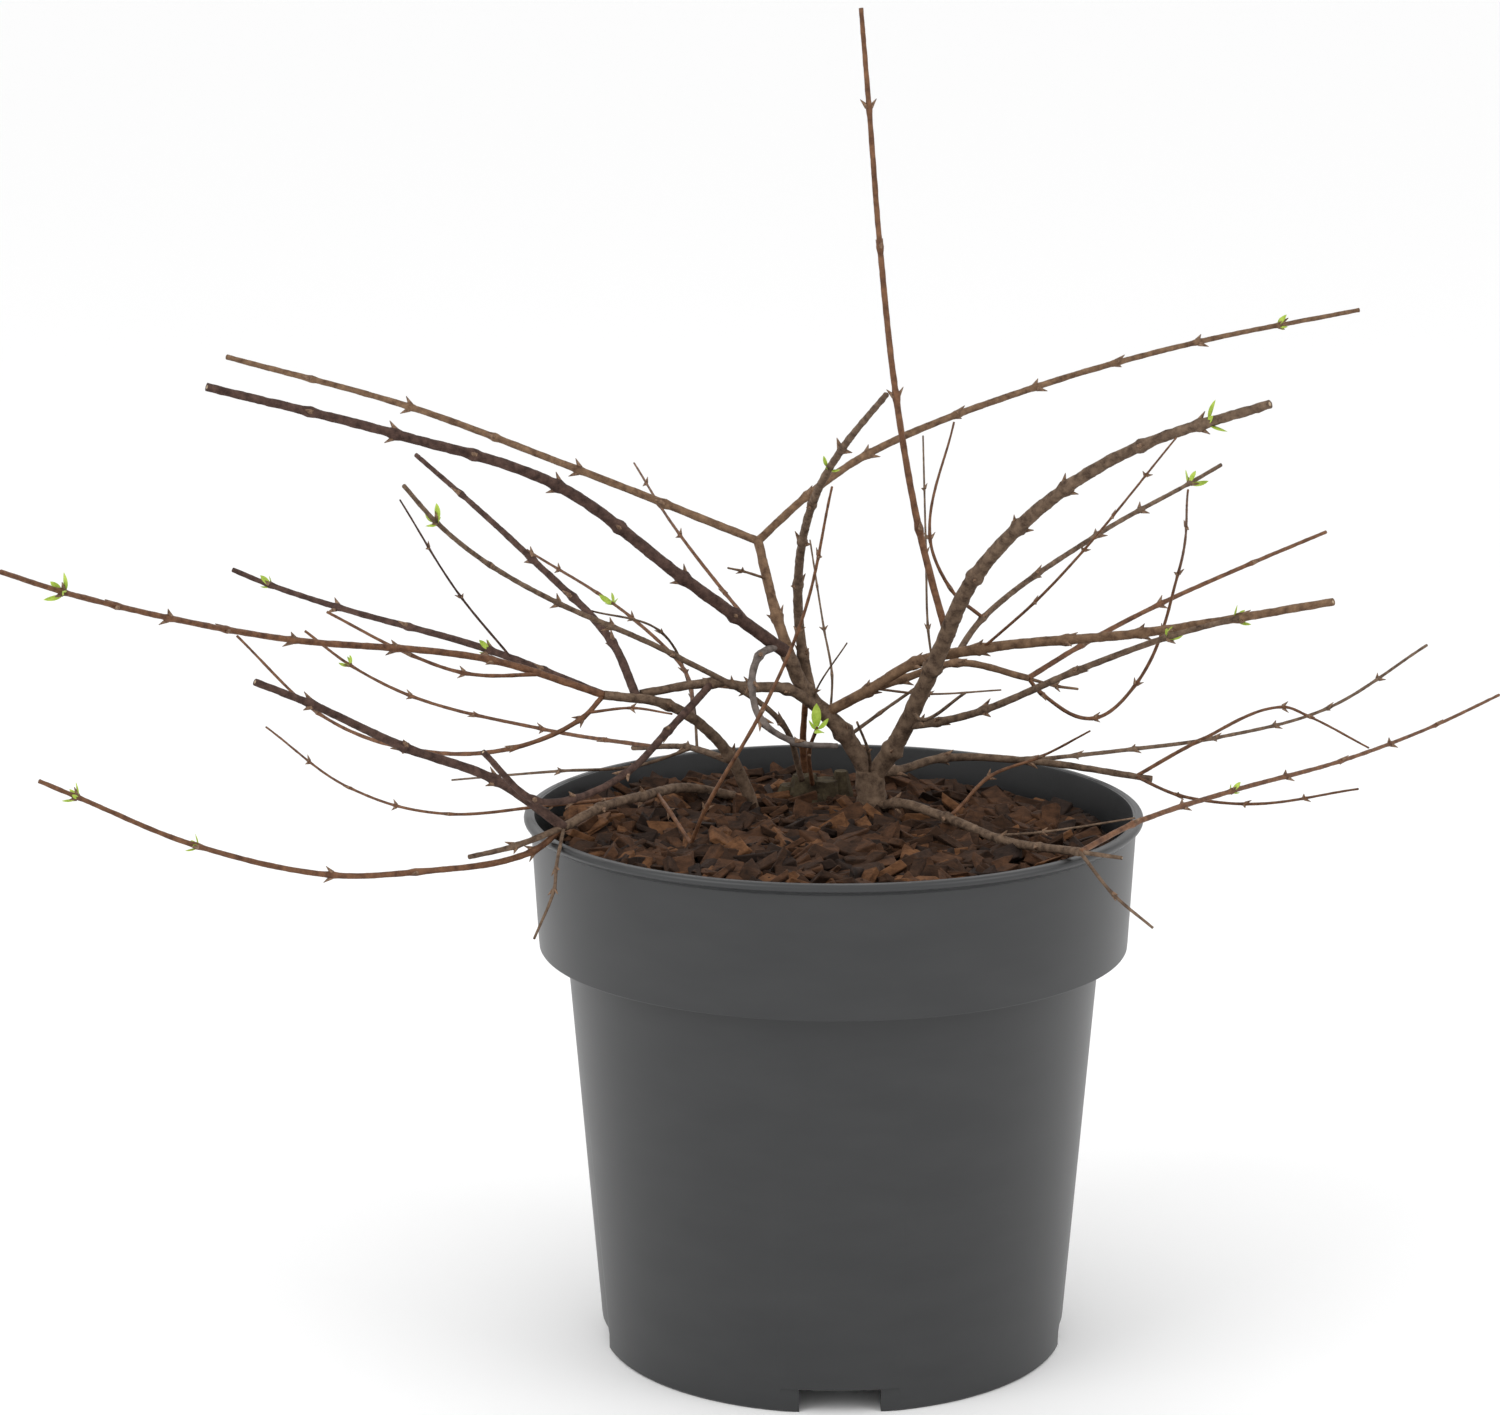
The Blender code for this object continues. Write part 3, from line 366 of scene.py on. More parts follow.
def dress_node(name: str, finish: TwoTone) -> None:
    """Gives a carried-over solid its finish, and reports it.

    Args:
        name: The node.
        finish: What it is dressed in.
    """
    node = bpy.data.objects[name]
    node.data.materials.clear()
    node.data.materials.append(finish.make())
    log.info("%s: dressed in %s", name, finish.name)


def seen(column: float, row: float, depth: float) -> Vector:
    """The place that the photograph shows at a column and a row, at a depth in millimetres."""
    sight = CAMERA_TURN @ Vector((column - MIDDLE[0], MIDDLE[1] - row, -FOCAL))
    return CAMERA_PLACE + sight * (depth * MM - CAMERA_PLACE.y) / sight.y


def pictured(place: Vector) -> Vector:
    """The column and row at which the photograph shows a place."""
    sight = CAMERA_TURN.transposed() @ (place - CAMERA_PLACE)
    return Vector((MIDDLE[0] - FOCAL * sight.x / sight.z, MIDDLE[1] + FOCAL * sight.y / sight.z))


def smooth_span(first: Vector, last: Vector, leaving: Vector, arriving: Vector) -> list[Vector]:
    """Works out a smooth way from one place to the next.

    Args:
        first: Where the way starts.
        last: Where it ends.
        leaving: Its direction at the start.
        arriving: Its direction at the end.

    Returns:
        The points after the first one.
    """
    third = (last - first).length / 3
    count = max(FEWEST_POINTS, math.ceil((last - first).length / (PATH_STEP * MM)) + 1)
    return interpolate_bezier(first, first + leaving * third, last - arriving * third, last, count)[1:]


class Limb(NamedTuple):
    """A stem, bough or twig.

    Its root is the column and row in the picture where it leaves its parent. Each bend is a column,
    a row and a depth in millimetres behind the container's axis. Its thickness is given at the root
    and at the tip.
    """

    name: str
    parent: str
    root: Pair | tuple[()]
    bends: tuple[Triple, ...]
    thick: Pair
    internode: float = INTERNODE
    fused: bool = False
    foot: Triple | tuple[()] = ()


def rooted(name: str, foot: Triple, bends: tuple[Triple, ...], thick: Pair) -> Limb:
    """A limb that stands at a foot of its own, given in millimetres."""
    return Limb(name, "", (), bends, thick, foot=foot)


def twig(name: str, parent: str, root: Pair, bends: tuple[Triple, ...], thick: Pair) -> Limb:
    """A side twig that is one body with its parent."""
    return Limb(name, parent, root, bends, thick, fused=True)


LIMBS = (
    # The stems that rise out of the chips
    rooted("root_crown", (15, 34, GROUND), ((872, 800, 34), (869, 768, 32)), (14, 10)),
    rooted("left_stem", (-25, 41, GROUND), ((729, 755, 24), (668, 705, 6), (604, 695, 0)), (5.2, 3.4)),
    rooted("stump_shoot", (-11, 56, 205), ((803, 745, 49), (805, 704, 38)), (3, 2.2)),
    rooted("leafy_shoot", (-8, 46, 203), ((809, 753, 30), (817, 728, 12)), (1.8, 1.4)),
    rooted(
        "low_stem",
        (-38, 47, 198),
        ((690, 788, 35), (643, 796, 0), (600, 808, -30), (564, 827, -50)),
        (3.8, 3.4),
    ),
    Limb(
        "left_trunk",
        "root_crown",
        (869, 777),
        ((843, 732, 31), (806, 692, 28), (787, 653, 24)),
        (7.2, 5.4),
    ),
    Limb(
        "right_trunk",
        "root_crown",
        (872, 780),
        (
            (892, 750, 29),
            (933, 667, 13),
            (975, 577, -14),
            (1066, 488, -45),
            (1141, 446, -62),
            (1270, 404, -90),
        ),
        (7.2, 3.2),
    ),
    # Limbs and boughs of the left trunk
    Limb(
        "cross_limb",
        "left_trunk",
        (824, 718),
        ((787, 689, 20), (749, 687, 13), (712, 683, 9), (640, 694, 8)),
        (4.4, 3.2),
    ),
    Limb(
        "middle_right_limb",
        "left_trunk",
        (822, 718),
        ((869, 690, 26), (915, 663, 20), (979, 649, 13), (1141, 633, -15), (1333, 602, -60)),
        (4.4, 2.8),
    ),
    Limb(
        "upright_limb",
        "left_trunk",
        (812, 702),
        ((803, 654, 33), (798, 585, 14), (812, 505, -30), (842, 449, -68), (886, 395, -105)),
        (4, 2.2),
    ),
    Limb("fork_limb", "left_trunk", (797, 674), ((777, 617, 40), (758, 541, 60)), (4.4, 3.6)),
    Limb(
        "thick_left_bough",
        "left_trunk",
        (787, 653),
        ((683, 578, 4), (558, 486, -15), (395, 434, -45), (207, 387, -75)),
        (5, 3),
    ),
    Limb(
        "upper_left_bough",
        "fork_limb",
        (758, 541),
        ((579, 470, 90), (410, 407, 120), (227, 357, 150)),
        (3.2, 2.2),
    ),
    Limb(
        "upper_right_bough",
        "fork_limb",
        (758, 541),
        ((807, 496, 70), (868, 454, 85), (1036, 387, 125), (1198, 342, 155), (1359, 310, 180)),
        (3.2, 1.8),
    ),
    Limb(
        "red_inner_twig",
        "thick_left_bough",
        (760, 631),
        ((725, 593, 50), (680, 535, 84), (634, 463, 172)),
        (1.6, 0.8),
    ),
    Limb(
        "dead_grey_twig",
        "thick_left_bough",
        (777, 647),
        ((759, 656, 12), (752, 684, 3), (762, 721, -4), (795, 742, -6), (837, 746, 0)),
        (3, 2.2),
    ),
    # Boughs and whips of the left stem
    Limb(
        "third_left_bough",
        "left_stem",
        (637, 696),
        ((612, 642, 20), (532, 559, 52), (461, 494, 82), (416, 455, 100)),
        (3.4, 1.8),
    ),
    Limb(
        "far_left_whip",
        "left_stem",
        (604, 695),
        ((491, 660, -12), (293, 640, -58), (169, 618, -112), (63, 592, -152), (1, 572, -180)),
        (2.8, 1.8),
    ),
    Limb(
        "dark_left_bough",
        "left_stem",
        (604, 695),
        ((489, 650, 25), (337, 607, 56), (270, 585, 72), (233, 570, 80)),
        (3, 2),
    ),
    Limb(
        "looping_left_whip",
        "left_stem",
        (604, 695),
        ((581, 719, -6), (513, 748, -12), (410, 749, 10), (318, 713, 40), (237, 636, 60)),
        (2, 1),
    ),
    Limb(
        "fifth_left_bough",
        "left_stem",
        (694, 720),
        ((685, 671, 52), (632, 618, 85), (527, 550, 155)),
        (1.6, 1),
    ),
    Limb("back_left_stub", "left_stem", (734, 762), ((686, 747, 60), (633, 748, 90)), (2.8, 2)),
    Limb(
        "orange_whip",
        "back_left_stub",
        (655, 748),
        ((542, 729, 132), (411, 696, 160), (350, 665, 168), (305, 631, 175)),
        (1.8, 1.2),
    ),
    rooted(
        "fourth_left_bough",
        (-12, 45, 205),
        (
            (781, 722, 24),
            (672, 654, -8),
            (558, 603, -38),
            (490, 565, -70),
            (436, 522, -102),
            (404, 486, -120),
        ),
        (2.4, 1.6),
    ),
    Limb(
        "bent_stem",
        "cross_limb",
        (712, 686),
        ((668, 731, -18), (625, 774, -46), (573, 799, -66), (533, 799, -80), (483, 752, -95)),
        (3, 2.2),
    ),
    # The low stem that lies on the chips and what grows from it
    Limb(
        "low_left_limb",
        "low_stem",
        (564, 827),
        ((495, 780, -58), (404, 747, -76), (311, 704, -98), (255, 682, -110)),
        (3.8, 2.6),
    ),
    Limb(
        "low_left_whip",
        "low_stem",
        (564, 829),
        (
            (533, 851, -57),
            (416, 872, -80),
            (332, 875, -90),
            (197, 846, -106),
            (77, 797, -124),
            (39, 781, -130),
        ),
        (2.4, 1.6),
    ),
    Limb(
        "thin_low_whip",
        "low_stem",
        (655, 793),
        ((604, 800, 0), (552, 805, -8), (449, 814, -12), (350, 788, 20), (266, 727, 60)),
        (1.4, 0.8),
    ),
    Limb("vee_foot", "low_stem", (657, 793), ((670, 812, -12), (691, 844, -38)), (1.8, 1.5)),
    # Limbs and boughs of the right side
    Limb(
        "pale_limb",
        "middle_right_limb",
        (869, 692),
        ((903, 679, 31), (957, 663, 38), (1028, 678, 48)),
        (3, 2.6),
    ),
    Limb(
        "inner_right_bough",
        "pale_limb",
        (950, 664),
        ((983, 618, 58), (1097, 535, 98), (1190, 483, 138), (1221, 465, 150)),
        (2.6, 1.6),
    ),
    Limb(
        "pale_upper_twig",
        "pale_limb",
        (1028, 678),
        ((1082, 645, 63), (1160, 604, 83), (1252, 563, 105), (1326, 532, 125)),
        (2.2, 1.4),
    ),
    Limb(
        "curled_twig",
        "pale_limb",
        (1028, 679),
        ((1042, 694, 51), (1095, 718, 60), (1136, 684, 61), (1178, 574, 40), (1188, 490, -20)),
        (1.6, 0.8),
    ),
    Limb(
        "tall_shoot",
        "right_trunk",
        (947, 634),
        ((919, 529, 9), (896, 396, 11), (880, 247, 17), (869, 107, 24), (861, 8, 30)),
        (2.8, 1.8),
        internode=LONG_INTERNODE,
    ),
    Limb(
        "lower_right_limb",
        "right_trunk",
        (910, 728),
        ((938, 722, 17), (984, 710, 4), (1076, 671, -15), (1168, 637, -32), (1238, 618, -50)),
        (3.2, 2),
    ),
    Limb(
        "thin_right_twig",
        "middle_right_limb",
        (981, 649),
        ((1035, 602, -12), (1084, 550, -45), (1176, 438, -115)),
        (1.2, 0.7),
    ),
    Limb(
        "crossed_upright_twig",
        "inner_right_bough",
        (983, 619),
        ((950, 588, 46), (930, 538, 45), (954, 422, 60)),
        (1.6, 0.8),
    ),
    # The low limbs over the rim on the right
    Limb(
        "front_right_limb",
        "root_crown",
        (873, 808),
        ((896, 803, 24), (947, 818, 2), (1002, 840, -28), (1080, 852, -80)),
        (3.8, 3),
    ),
    Limb(
        "orange_right_whip",
        "front_right_limb",
        (1080, 852),
        ((1133, 824, -52), (1232, 791, -3), (1341, 761, 50), (1436, 725, 106), (1499, 695, 140)),
        (2.2, 1.2),
    ),
    Limb(
        "crossing_twig",
        "front_right_limb",
        (946, 818),
        ((956, 811, 4), (989, 777, 10), (1040, 757, 15), (1090, 731, 0)),
        (1.6, 0.8),
    ),
    Limb(
        "back_right_limb",
        "root_crown",
        (873, 772),
        ((895, 771, 41), (944, 758, 57), (1030, 761, 60), (1152, 779, 48)),
        (3.4, 2.4),
    ),
    Limb(
        "back_right_bough",
        "back_right_limb",
        (1028, 761),
        ((1134, 749, 90), (1215, 738, 114), (1328, 708, 147), (1427, 645, 180)),
        (1.8, 1.2),
    ),
    Limb(
        "bowed_right_twig",
        "back_right_limb",
        (1134, 777),
        ((1199, 741, 44), (1283, 707, 36), (1308, 716, 32), (1369, 748, 20)),
        (1.6, 0.8),
    ),
    Limb(
        "low_right_twig",
        "back_right_limb",
        (1134, 777),
        ((1178, 795, 28), (1245, 804, 0), (1358, 789, -60)),
        (1.4, 0.8),
    ),
    # Side twigs, each one body with the limb that it grows from
    twig(
        "vee_twig",
        "vee_foot",
        (691, 844),
        ((706, 808, -46), (762, 711, -52), (798, 631, -58), (832, 487, -112)),
        (1.6, 0.9),
    ),
    twig(
        "red_left_twig",
        "far_left_whip",
        (540, 682),
        ((464, 673, -26), (411, 655, -22), (327, 612, -10)),
        (1.6, 1),
    ),
    twig("under_twig", "looping_left_whip", (584, 708), ((632, 708, -12), (672, 714, -22)), (1.2, 0.8)),
    twig("thin_left_twig", "dark_left_bough", (511, 658), ((461, 597, 2), (400, 500, -40)), (1, 0.7)),
    twig("dark_stub", "low_stem", (564, 827), ((515, 846, -63), (469, 857, -78)), (2.4, 1.8)),
    twig(
        "hanging_left_twig",
        "low_stem",
        (564, 829),
        ((556, 869, -72), (554, 890, -80), (534, 939, -90)),
        (1.4, 1),
    ),
    twig(
        "back_left_twig",
        "back_left_stub",
        (692, 748),
        ((636, 766, 54), (560, 771, 57), (452, 780, 110)),
        (1.4, 0.8),
    ),
    twig(
        "kinked_twig",
        "back_left_stub",
        (698, 747),
        ((692, 697, 63), (661, 632, 52), (588, 610, 38)),
        (1.2, 0.8),
    ),
    twig(
        "thin_upright_twig",
        "left_trunk",
        (827, 720),
        ((832, 675, 46), (824, 629, 65), (810, 540, 112)),
        (1, 0.7),
    ),
    twig("short_slant_twig", "left_trunk", (812, 704), ((816, 691, 24), (847, 643, 10)), (0.8, 0.6)),
    twig("fork_dry_twig", "fork_limb", (768, 580), ((742, 571, 38), (728, 568, 30)), (1.2, 0.8)),
    twig("back_slant_twig", "left_trunk", (849, 737), ((880, 713, 39), (917, 687, 48)), (1.6, 1.2)),
    twig("pale_stub", "pale_limb", (1026, 678), ((1056, 686, 55), (1078, 689, 60)), (1.4, 1)),
    twig("short_right_twig", "right_trunk", (916, 712), ((922, 720, 12), (965, 693, -12)), (1.6, 1.2)),
    twig(
        "right_upright_twig",
        "right_trunk",
        (932, 668),
        ((928, 628, 17), (926, 552, 25), (923, 436, 70)),
        (1, 0.7),
    ),
    twig("back_level_twig", "middle_right_limb", (872, 690), ((929, 694, 48), (1001, 690, 70)), (1, 0.7)),
    twig("dry_upright_twig", "root_crown", (872, 776), ((868, 750, 14), (857, 722, 4)), (1.6, 1)),
    twig("front_stub", "front_right_limb", (1078, 852), ((1122, 858, -86),), (1.8, 1.4)),
    twig(
        "hanging_right_twig",
        "front_right_limb",
        (1080, 853),
        ((1113, 894, -90), (1153, 928, -98)),
        (1.4, 1),
    ),
    twig("thin_mulch_twig", "front_right_limb", (990, 834), ((1043, 832, -44), (1135, 818, -30)), (1, 0.7)),
)

# Buds that have opened: the limb, the place in the picture, and the leaves' length
OPEN_BUDS = (
    ("leafy_shoot", (817, 728), 9.0),
    ("far_left_whip", (63, 592), 7.0),
    ("dark_left_bough", (489, 650), 5.0),
    ("dark_left_bough", (270, 585), 5.0),
    ("fourth_left_bough", (436, 522), 6.0),
    ("fifth_left_bough", (611, 604), 6.0),
    ("low_left_whip", (77, 797), 5.0),
    ("low_left_whip", (197, 846), 4.0),
    ("orange_whip", (350, 665), 5.0),
    ("upright_limb", (830, 468), 4.5),
    ("upper_right_bough", (1279, 323), 5.0),
    ("right_trunk", (1208, 416), 7.0),
    ("inner_right_bough", (1190, 483), 7.0),
    ("middle_right_limb", (1236, 618), 5.0),
    ("lower_right_limb", (1168, 637), 5.0),
    ("orange_right_whip", (1232, 791), 4.0),
)


@dataclass
class Run:
    """A limb's centre line in metres, with the distances along it and of its nodes in millimetres."""

    limb: Limb
    start: Vector
    uneven: float = 0.08
    tip_clear: float = 5.0
    knuckle_swell: float = 0.34
    knuckle_reach: float = 1.7
    flare_swell: float = 0.45
    flare_reach: float = 9.0
    no_node: float = 99.0

    def __post_init__(self) -> None:
        """Works out the way through the limb's places, and its nodes."""
        places = [self.start] + [seen(*bend) for bend in self.limb.bends]
        ways = [(last - first).normalized() for first, last in zip(places, places[1:])]
        middles = [(first + last).normalized() for first, last in zip(ways, ways[1:])]
        turns = [ways[0], *middles, ways[-1]]
        self.points = [self.start]
        marks = [0]
        for k in range(len(ways)):
            self.points += smooth_span(places[k], places[k + 1], turns[k], turns[k + 1])
            marks.append(len(self.points) - 1)
        steps = np.linalg.norm(np.diff(np.array(self.points), axis=0), axis=1)
        self.along = np.concatenate([[0.0], np.cumsum(steps)]) / MM
        self.long = float(self.along[-1])
        rng = random.Random(self.limb.name)
        self.turn = rng.uniform(0, math.pi)
        self.nodes = self.node_spots([float(self.along[mark]) for mark in marks], rng)

    def node_spots(self, bends: list[float], rng: random.Random) -> list[float]:
        """Sets nodes at the bends and evenly between them.

        Args:
            bends: The distances of the limb's places along it.
            rng: What makes the spacing uneven.

        Returns:
            The nodes that are above the chips and short of the tip.
        """
        found = []
        for first, last in zip(bends, bends[1:]):
            count = max(1, round((last - first) / self.limb.internode))
            for k in range(1, count + 1):
                shift = 0.0 if k == count else rng.uniform(-self.uneven, self.uneven)
                found.append(first + (last - first) * (k + shift) / count)
        over = [spot for spot in found if self.point(spot).z > RIM_TOP * MM or not self.limb.foot]
        return [spot for spot in over if self.tip_clear < spot < self.long - self.tip_clear]

    def point(self, spot: float) -> Vector:
        """Finds a place on the centre line.

        Args:
            spot: The distance along the limb in millimetres.

        Returns:
            The place in metres.
        """
        after = min(max(int(np.searchsorted(self.along, spot)), 1), len(self.points) - 1)
        share = (spot - self.along[after - 1]) / (self.along[after] - self.along[after - 1])
        return self.points[after - 1].lerp(self.points[after], float(share))

    def ahead(self, spot: float) -> Vector:
        """The limb's direction at a distance along it."""
        return (self.point(min(spot + 1, self.long)) - self.point(max(spot - 1, 0))).normalized()

    def radius(self, spot: float) -> float:
        """Works out the radius, swollen at the nodes and flared at a foot on the ground.

        Args:
            spot: The distance along the limb in millimetres.

        Returns:
            The radius in metres.
        """
        root, tip = self.limb.thick
        plain = root + (tip - root) * spot / self.long
        if self.limb.foot and self.limb.foot[2] == GROUND:
            plain *= 1 + self.flare_swell * math.exp(-spot / self.flare_reach)
        near = min((abs(spot - node) for node in self.nodes), default=self.no_node)
        return plain / 2 * MM * (1 + self.knuckle_swell * math.exp(-((near / self.knuckle_reach) ** 2)))

    def nearest(self, column: float, row: float) -> float:
        """Finds the point that the picture shows nearest to a place in it.

        Args:
            column: The place's column.
            row: The place's row.

        Returns:
            The point's distance along the limb in millimetres.
        """
        goal = Vector((column, row))
        apart = [(pictured(point) - goal).length for point in self.points]
        return float(self.along[apart.index(min(apart))])


@dataclass(frozen=True)
class PointedCone:
    """The cone that makes a bud's scale or the pale face of a cut tip."""

    sides: int = 6
    blunt: float = 0.12

    def add(
        self, bm: bmesh.types.BMesh, base: Vector, way: Vector, long: float, wide: float, skin: Skin
    ) -> None:
        """Adds a cone.

        Args:
            bm: What it is added to.
            base: The middle of its foot.
            way: The direction that it points in.
            long: Its length in metres.
            wide: The radius of its foot in metres.
            skin: Its finish.
        """
        turn = way.to_track_quat("Z", "Y").to_matrix().to_4x4()
        made = bmesh.ops.create_cone(
            bm,
            cap_ends=True,
            segments=self.sides,
            radius1=wide,
            radius2=wide * self.blunt,
            depth=long,
            matrix=Matrix.Translation(base + way * long / 2) @ turn,
        )
        for face in faces_of(made["verts"]):
            face.material_index = skin


@dataclass(frozen=True)
class Blade:
    """A young leaf: a small folded grid with a pointed outline, in parts of its length."""

    across_faces: int = 4
    along_faces: int = 6
    half_width: float = 0.42
    fullness: float = 0.8
    foot_share: float = 0.12
    fold: float = 0.5
    curl: float = 0.25
    lift: float = 0.6

    def add(self, bm: bmesh.types.BMesh, base: Vector, along: Vector, flat: Vector, long: float) -> None:
        """Adds a leaf.

        Args:
            bm: What it is added to.
            base: Where it leaves the limb.
            along: The direction of its rib.
            flat: A direction that its rib's plane holds.
            long: Its length in metres.
        """
        made = bmesh.ops.create_grid(bm, x_segments=self.across_faces, y_segments=self.along_faces, size=0.5)
        across = along.cross(flat).normalized()
        up = across.cross(along)
        for vert in made["verts"]:
            share = vert.co.y + 0.5
            arc = math.pi * min(1.0, self.foot_share + share * (1 - self.foot_share))
            side = vert.co.x * 2 * self.half_width * math.sin(arc) ** self.fullness
            rise = abs(side) * self.fold + self.curl * share * share
            vert.co = base + (along * share + across * side * 0.5 + up * rise * self.lift) * long
        for face in faces_of(made["verts"]):
            face.material_index = Skin.LEAF


@dataclass
class Shrub:
    """The stems, boughs and twigs with their buds, opening leaves and cut tips.

    The relief, the seats and the cut's share are parts of a limb's radius, and a bud's width is a
    part of its length.
    """

    relief: float = 0.09
    relief_scales: Pair = (260, 800)
    fine_relief: float = 0.6
    weld: float = 0.005
    bud_long: float = 4.2
    bud_least: float = 0.35
    bud_full_thick: float = 5
    bud_wide: float = 0.27
    bud_seat: float = 0.55
    bud_forward: float = 0.75
    bud_outward: float = 0.65
    leaf_seat: float = 0.6
    leaf_forward: float = 0.8
    leaf_rise: float = 0.3
    cut_sunk: float = 0.3
    cut_thick: float = 0.55
    cut_share: float = 0.9
    cone: PointedCone = PointedCone()
    blade: Blade = Blade()
    runs: dict[str, Run] = field(default_factory=dict)
    finishes: dict[Bark, bpy.types.Material] = field(default_factory=dict)

    def __post_init__(self) -> None:
        """Lays out the limbs and makes the finishes."""
        for limb in LIMBS:
            parent = self.runs.get(limb.parent)
            start = Vector(limb.foot) * MM if limb.foot else parent.point(parent.nearest(*limb.root))
            self.runs[limb.name] = Run(limb, start)
        self.finishes = {bark: bark.value.make() for bark in Bark}
        self.trims = [finish.make() for finish in (BUD_SCALES, CUT_WOOD, YOUNG_LEAF)]

    def bark_of(self, name: str) -> Bark:
        """Chooses the kind of bark that a limb wears.

        Args:
            name: The limb.

        Returns:
            Its bark.
        """
        if any(word in name for word in DEAD_WORDS):
            return Bark.DEAD
        if name in TAN_LIMBS:
            return Bark.TAN
        if name in DARK_LIMBS:
            return Bark.DARK
        return Bark.YOUNG if any(word in name for word in YOUNG_WORDS) else Bark.OLD

    def roundness(self, thick: float) -> int:
        """The bevel resolution for a limb of a thickness."""
        return 5 if thick > 5 else 3 if thick > 2 else 2

    def rod(self, run: Run) -> bpy.types.Mesh:
        """Makes the smooth tube along a limb, from a bevelled curve.

        Args:
            run: The limb's way.

        Returns:
            The tube's mesh.
        """
        curve = bpy.data.curves.new("way", "CURVE")
        curve.dimensions = "3D"
        curve.bevel_depth = 1.0
        curve.bevel_resolution = self.roundness(run.limb.thick[0])
        curve.use_fill_caps = True
        spline = curve.splines.new("POLY")
        spline.points.add(len(run.points) - 1)
        for spot, point, along in zip(spline.points, run.points, run.along):
            spot.co = (*point, 1)
            spot.radius = run.radius(float(along))
        rod = bpy.data.objects.new("way", curve)
        bpy.context.scene.collection.objects.link(rod)
        mesh = mesh_of(rod)
        bpy.data.objects.remove(rod)
        return mesh

    def tube(self, run: Run) -> bmesh.types.BMesh:
        """Works the bark's relief into a limb's tube.

        Args:
            run: The limb's way.

        Returns:
            The limb's shape.
        """
        bm = bmesh.new()
        bm.from_mesh(self.rod(run))
        bmesh.ops.remove_doubles(bm, verts=bm.verts, dist=MM * self.weld)
        bmesh.ops.recalc_face_normals(bm, faces=bm.faces)
        bm.normal_update()
        reach = self.relief * run.limb.thick[0] / 2 * MM
        broad, fine = self.relief_scales
        for vert in bm.verts:
            knot = noise.noise(vert.co * broad) + self.fine_relief * noise.noise(vert.co * fine)
            vert.co += vert.normal * knot * reach
            vert.co.z = max(vert.co.z, GROUND * MM) if run.limb.foot else vert.co.z
        return bm

    def side_at(self, run: Run, spot: float, quarters: int) -> Vector:
        """Turns round a limb from its own first side.

        Args:
            run: The limb's way.
            spot: The distance along it in millimetres.
            quarters: How many quarter turns are made.

        Returns:
            The direction that points away from the limb there.
        """
        ahead = run.ahead(spot)
        side = ahead.orthogonal().normalized()
        side.rotate(Matrix.Rotation(run.turn + quarters * math.pi / 2, 3, ahead))
        return side

    def add_buds(self, bm: bmesh.types.BMesh, run: Run) -> None:
        """Adds a pair of buds at each node, each pair a quarter turn from the last.

        Args:
            bm: The limb's shape.
            run: The limb's way.
        """
        grown = min(1.0, self.bud_least + run.limb.thick[0] / self.bud_full_thick)
        size = self.bud_long * MM * grown
        for k, spot in enumerate(run.nodes):
            side = self.side_at(run, spot, k)
            for way in (side, -side):
                lean = (run.ahead(spot) * self.bud_forward + way * self.bud_outward).normalized()
                base = run.point(spot) + way * run.radius(spot) * self.bud_seat
                self.cone.add(bm, base, lean, size, size * self.bud_wide, Skin.BUD)

    def add_leaves(self, bm: bmesh.types.BMesh, run: Run) -> None:
        """Adds two large and two small leaves at each bud that has opened.

        Args:
            bm: The limb's shape.
            run: The limb's way.
        """
        opened = [(run.nearest(*place), long) for name, place, long in OPEN_BUDS if name == run.limb.name]
        for spot, long in opened:
            for quarter in range(4):
                outward, size = (0.45, 0.7) if quarter % 2 else (0.7, 1.0)
                way = self.side_at(run, spot, quarter)
                rise = Vector((0, 0, self.leaf_rise))
                along = (run.ahead(spot) * self.leaf_forward + way * outward + rise).normalized()
                base = run.point(spot) + way * run.radius(spot) * self.leaf_seat
                self.blade.add(bm, base, along, way, long * MM * size)

    def add_cut(self, bm: bmesh.types.BMesh, run: Run) -> None:
        """Adds the pale wood of a pruned tip.

        Args:
            bm: The limb's shape.
            run: The limb's way.
        """
        ahead = run.ahead(run.long)
        base = run.points[-1] - ahead * self.cut_sunk * MM
        wide = run.radius(run.long) * self.cut_share
        self.cone.add(bm, base, ahead, self.cut_thick * MM, wide, Skin.CUT)

    def limb_mesh(self, run: Run) -> bpy.types.Mesh:
        """Makes a limb with all that grows on it.

        Args:
            run: The limb's way.

        Returns:
            Its mesh.
        """
        bm = self.tube(run)
        self.add_buds(bm, run)
        self.add_leaves(bm, run)
        if run.limb.name in CUT_TIPS:
            self.add_cut(bm, run)
        mesh = bpy.data.meshes.new("part")
        bm.to_mesh(mesh)
        bm.free()
        return mesh

    def build(self) -> None:
        """Makes one piece for each body of the frame: a limb and the side twigs fused to it."""
        for limb in [row for row in LIMBS if not row.fused]:
            whole = bmesh.new()
            for row in LIMBS:
                if row.name == limb.name or (row.fused and row.parent == limb.name):
                    whole.from_mesh(self.limb_mesh(self.runs[row.name]))
            for face in whole.faces:
                face.smooth = face.material_index in (Skin.BARK, Skin.LEAF)
            piece = new_object("bark_" + limb.name, whole)
            for finish in (self.finishes[self.bark_of(limb.name)], *self.trims):
                piece.data.materials.append(finish)
            place_piece(piece, limb.name)


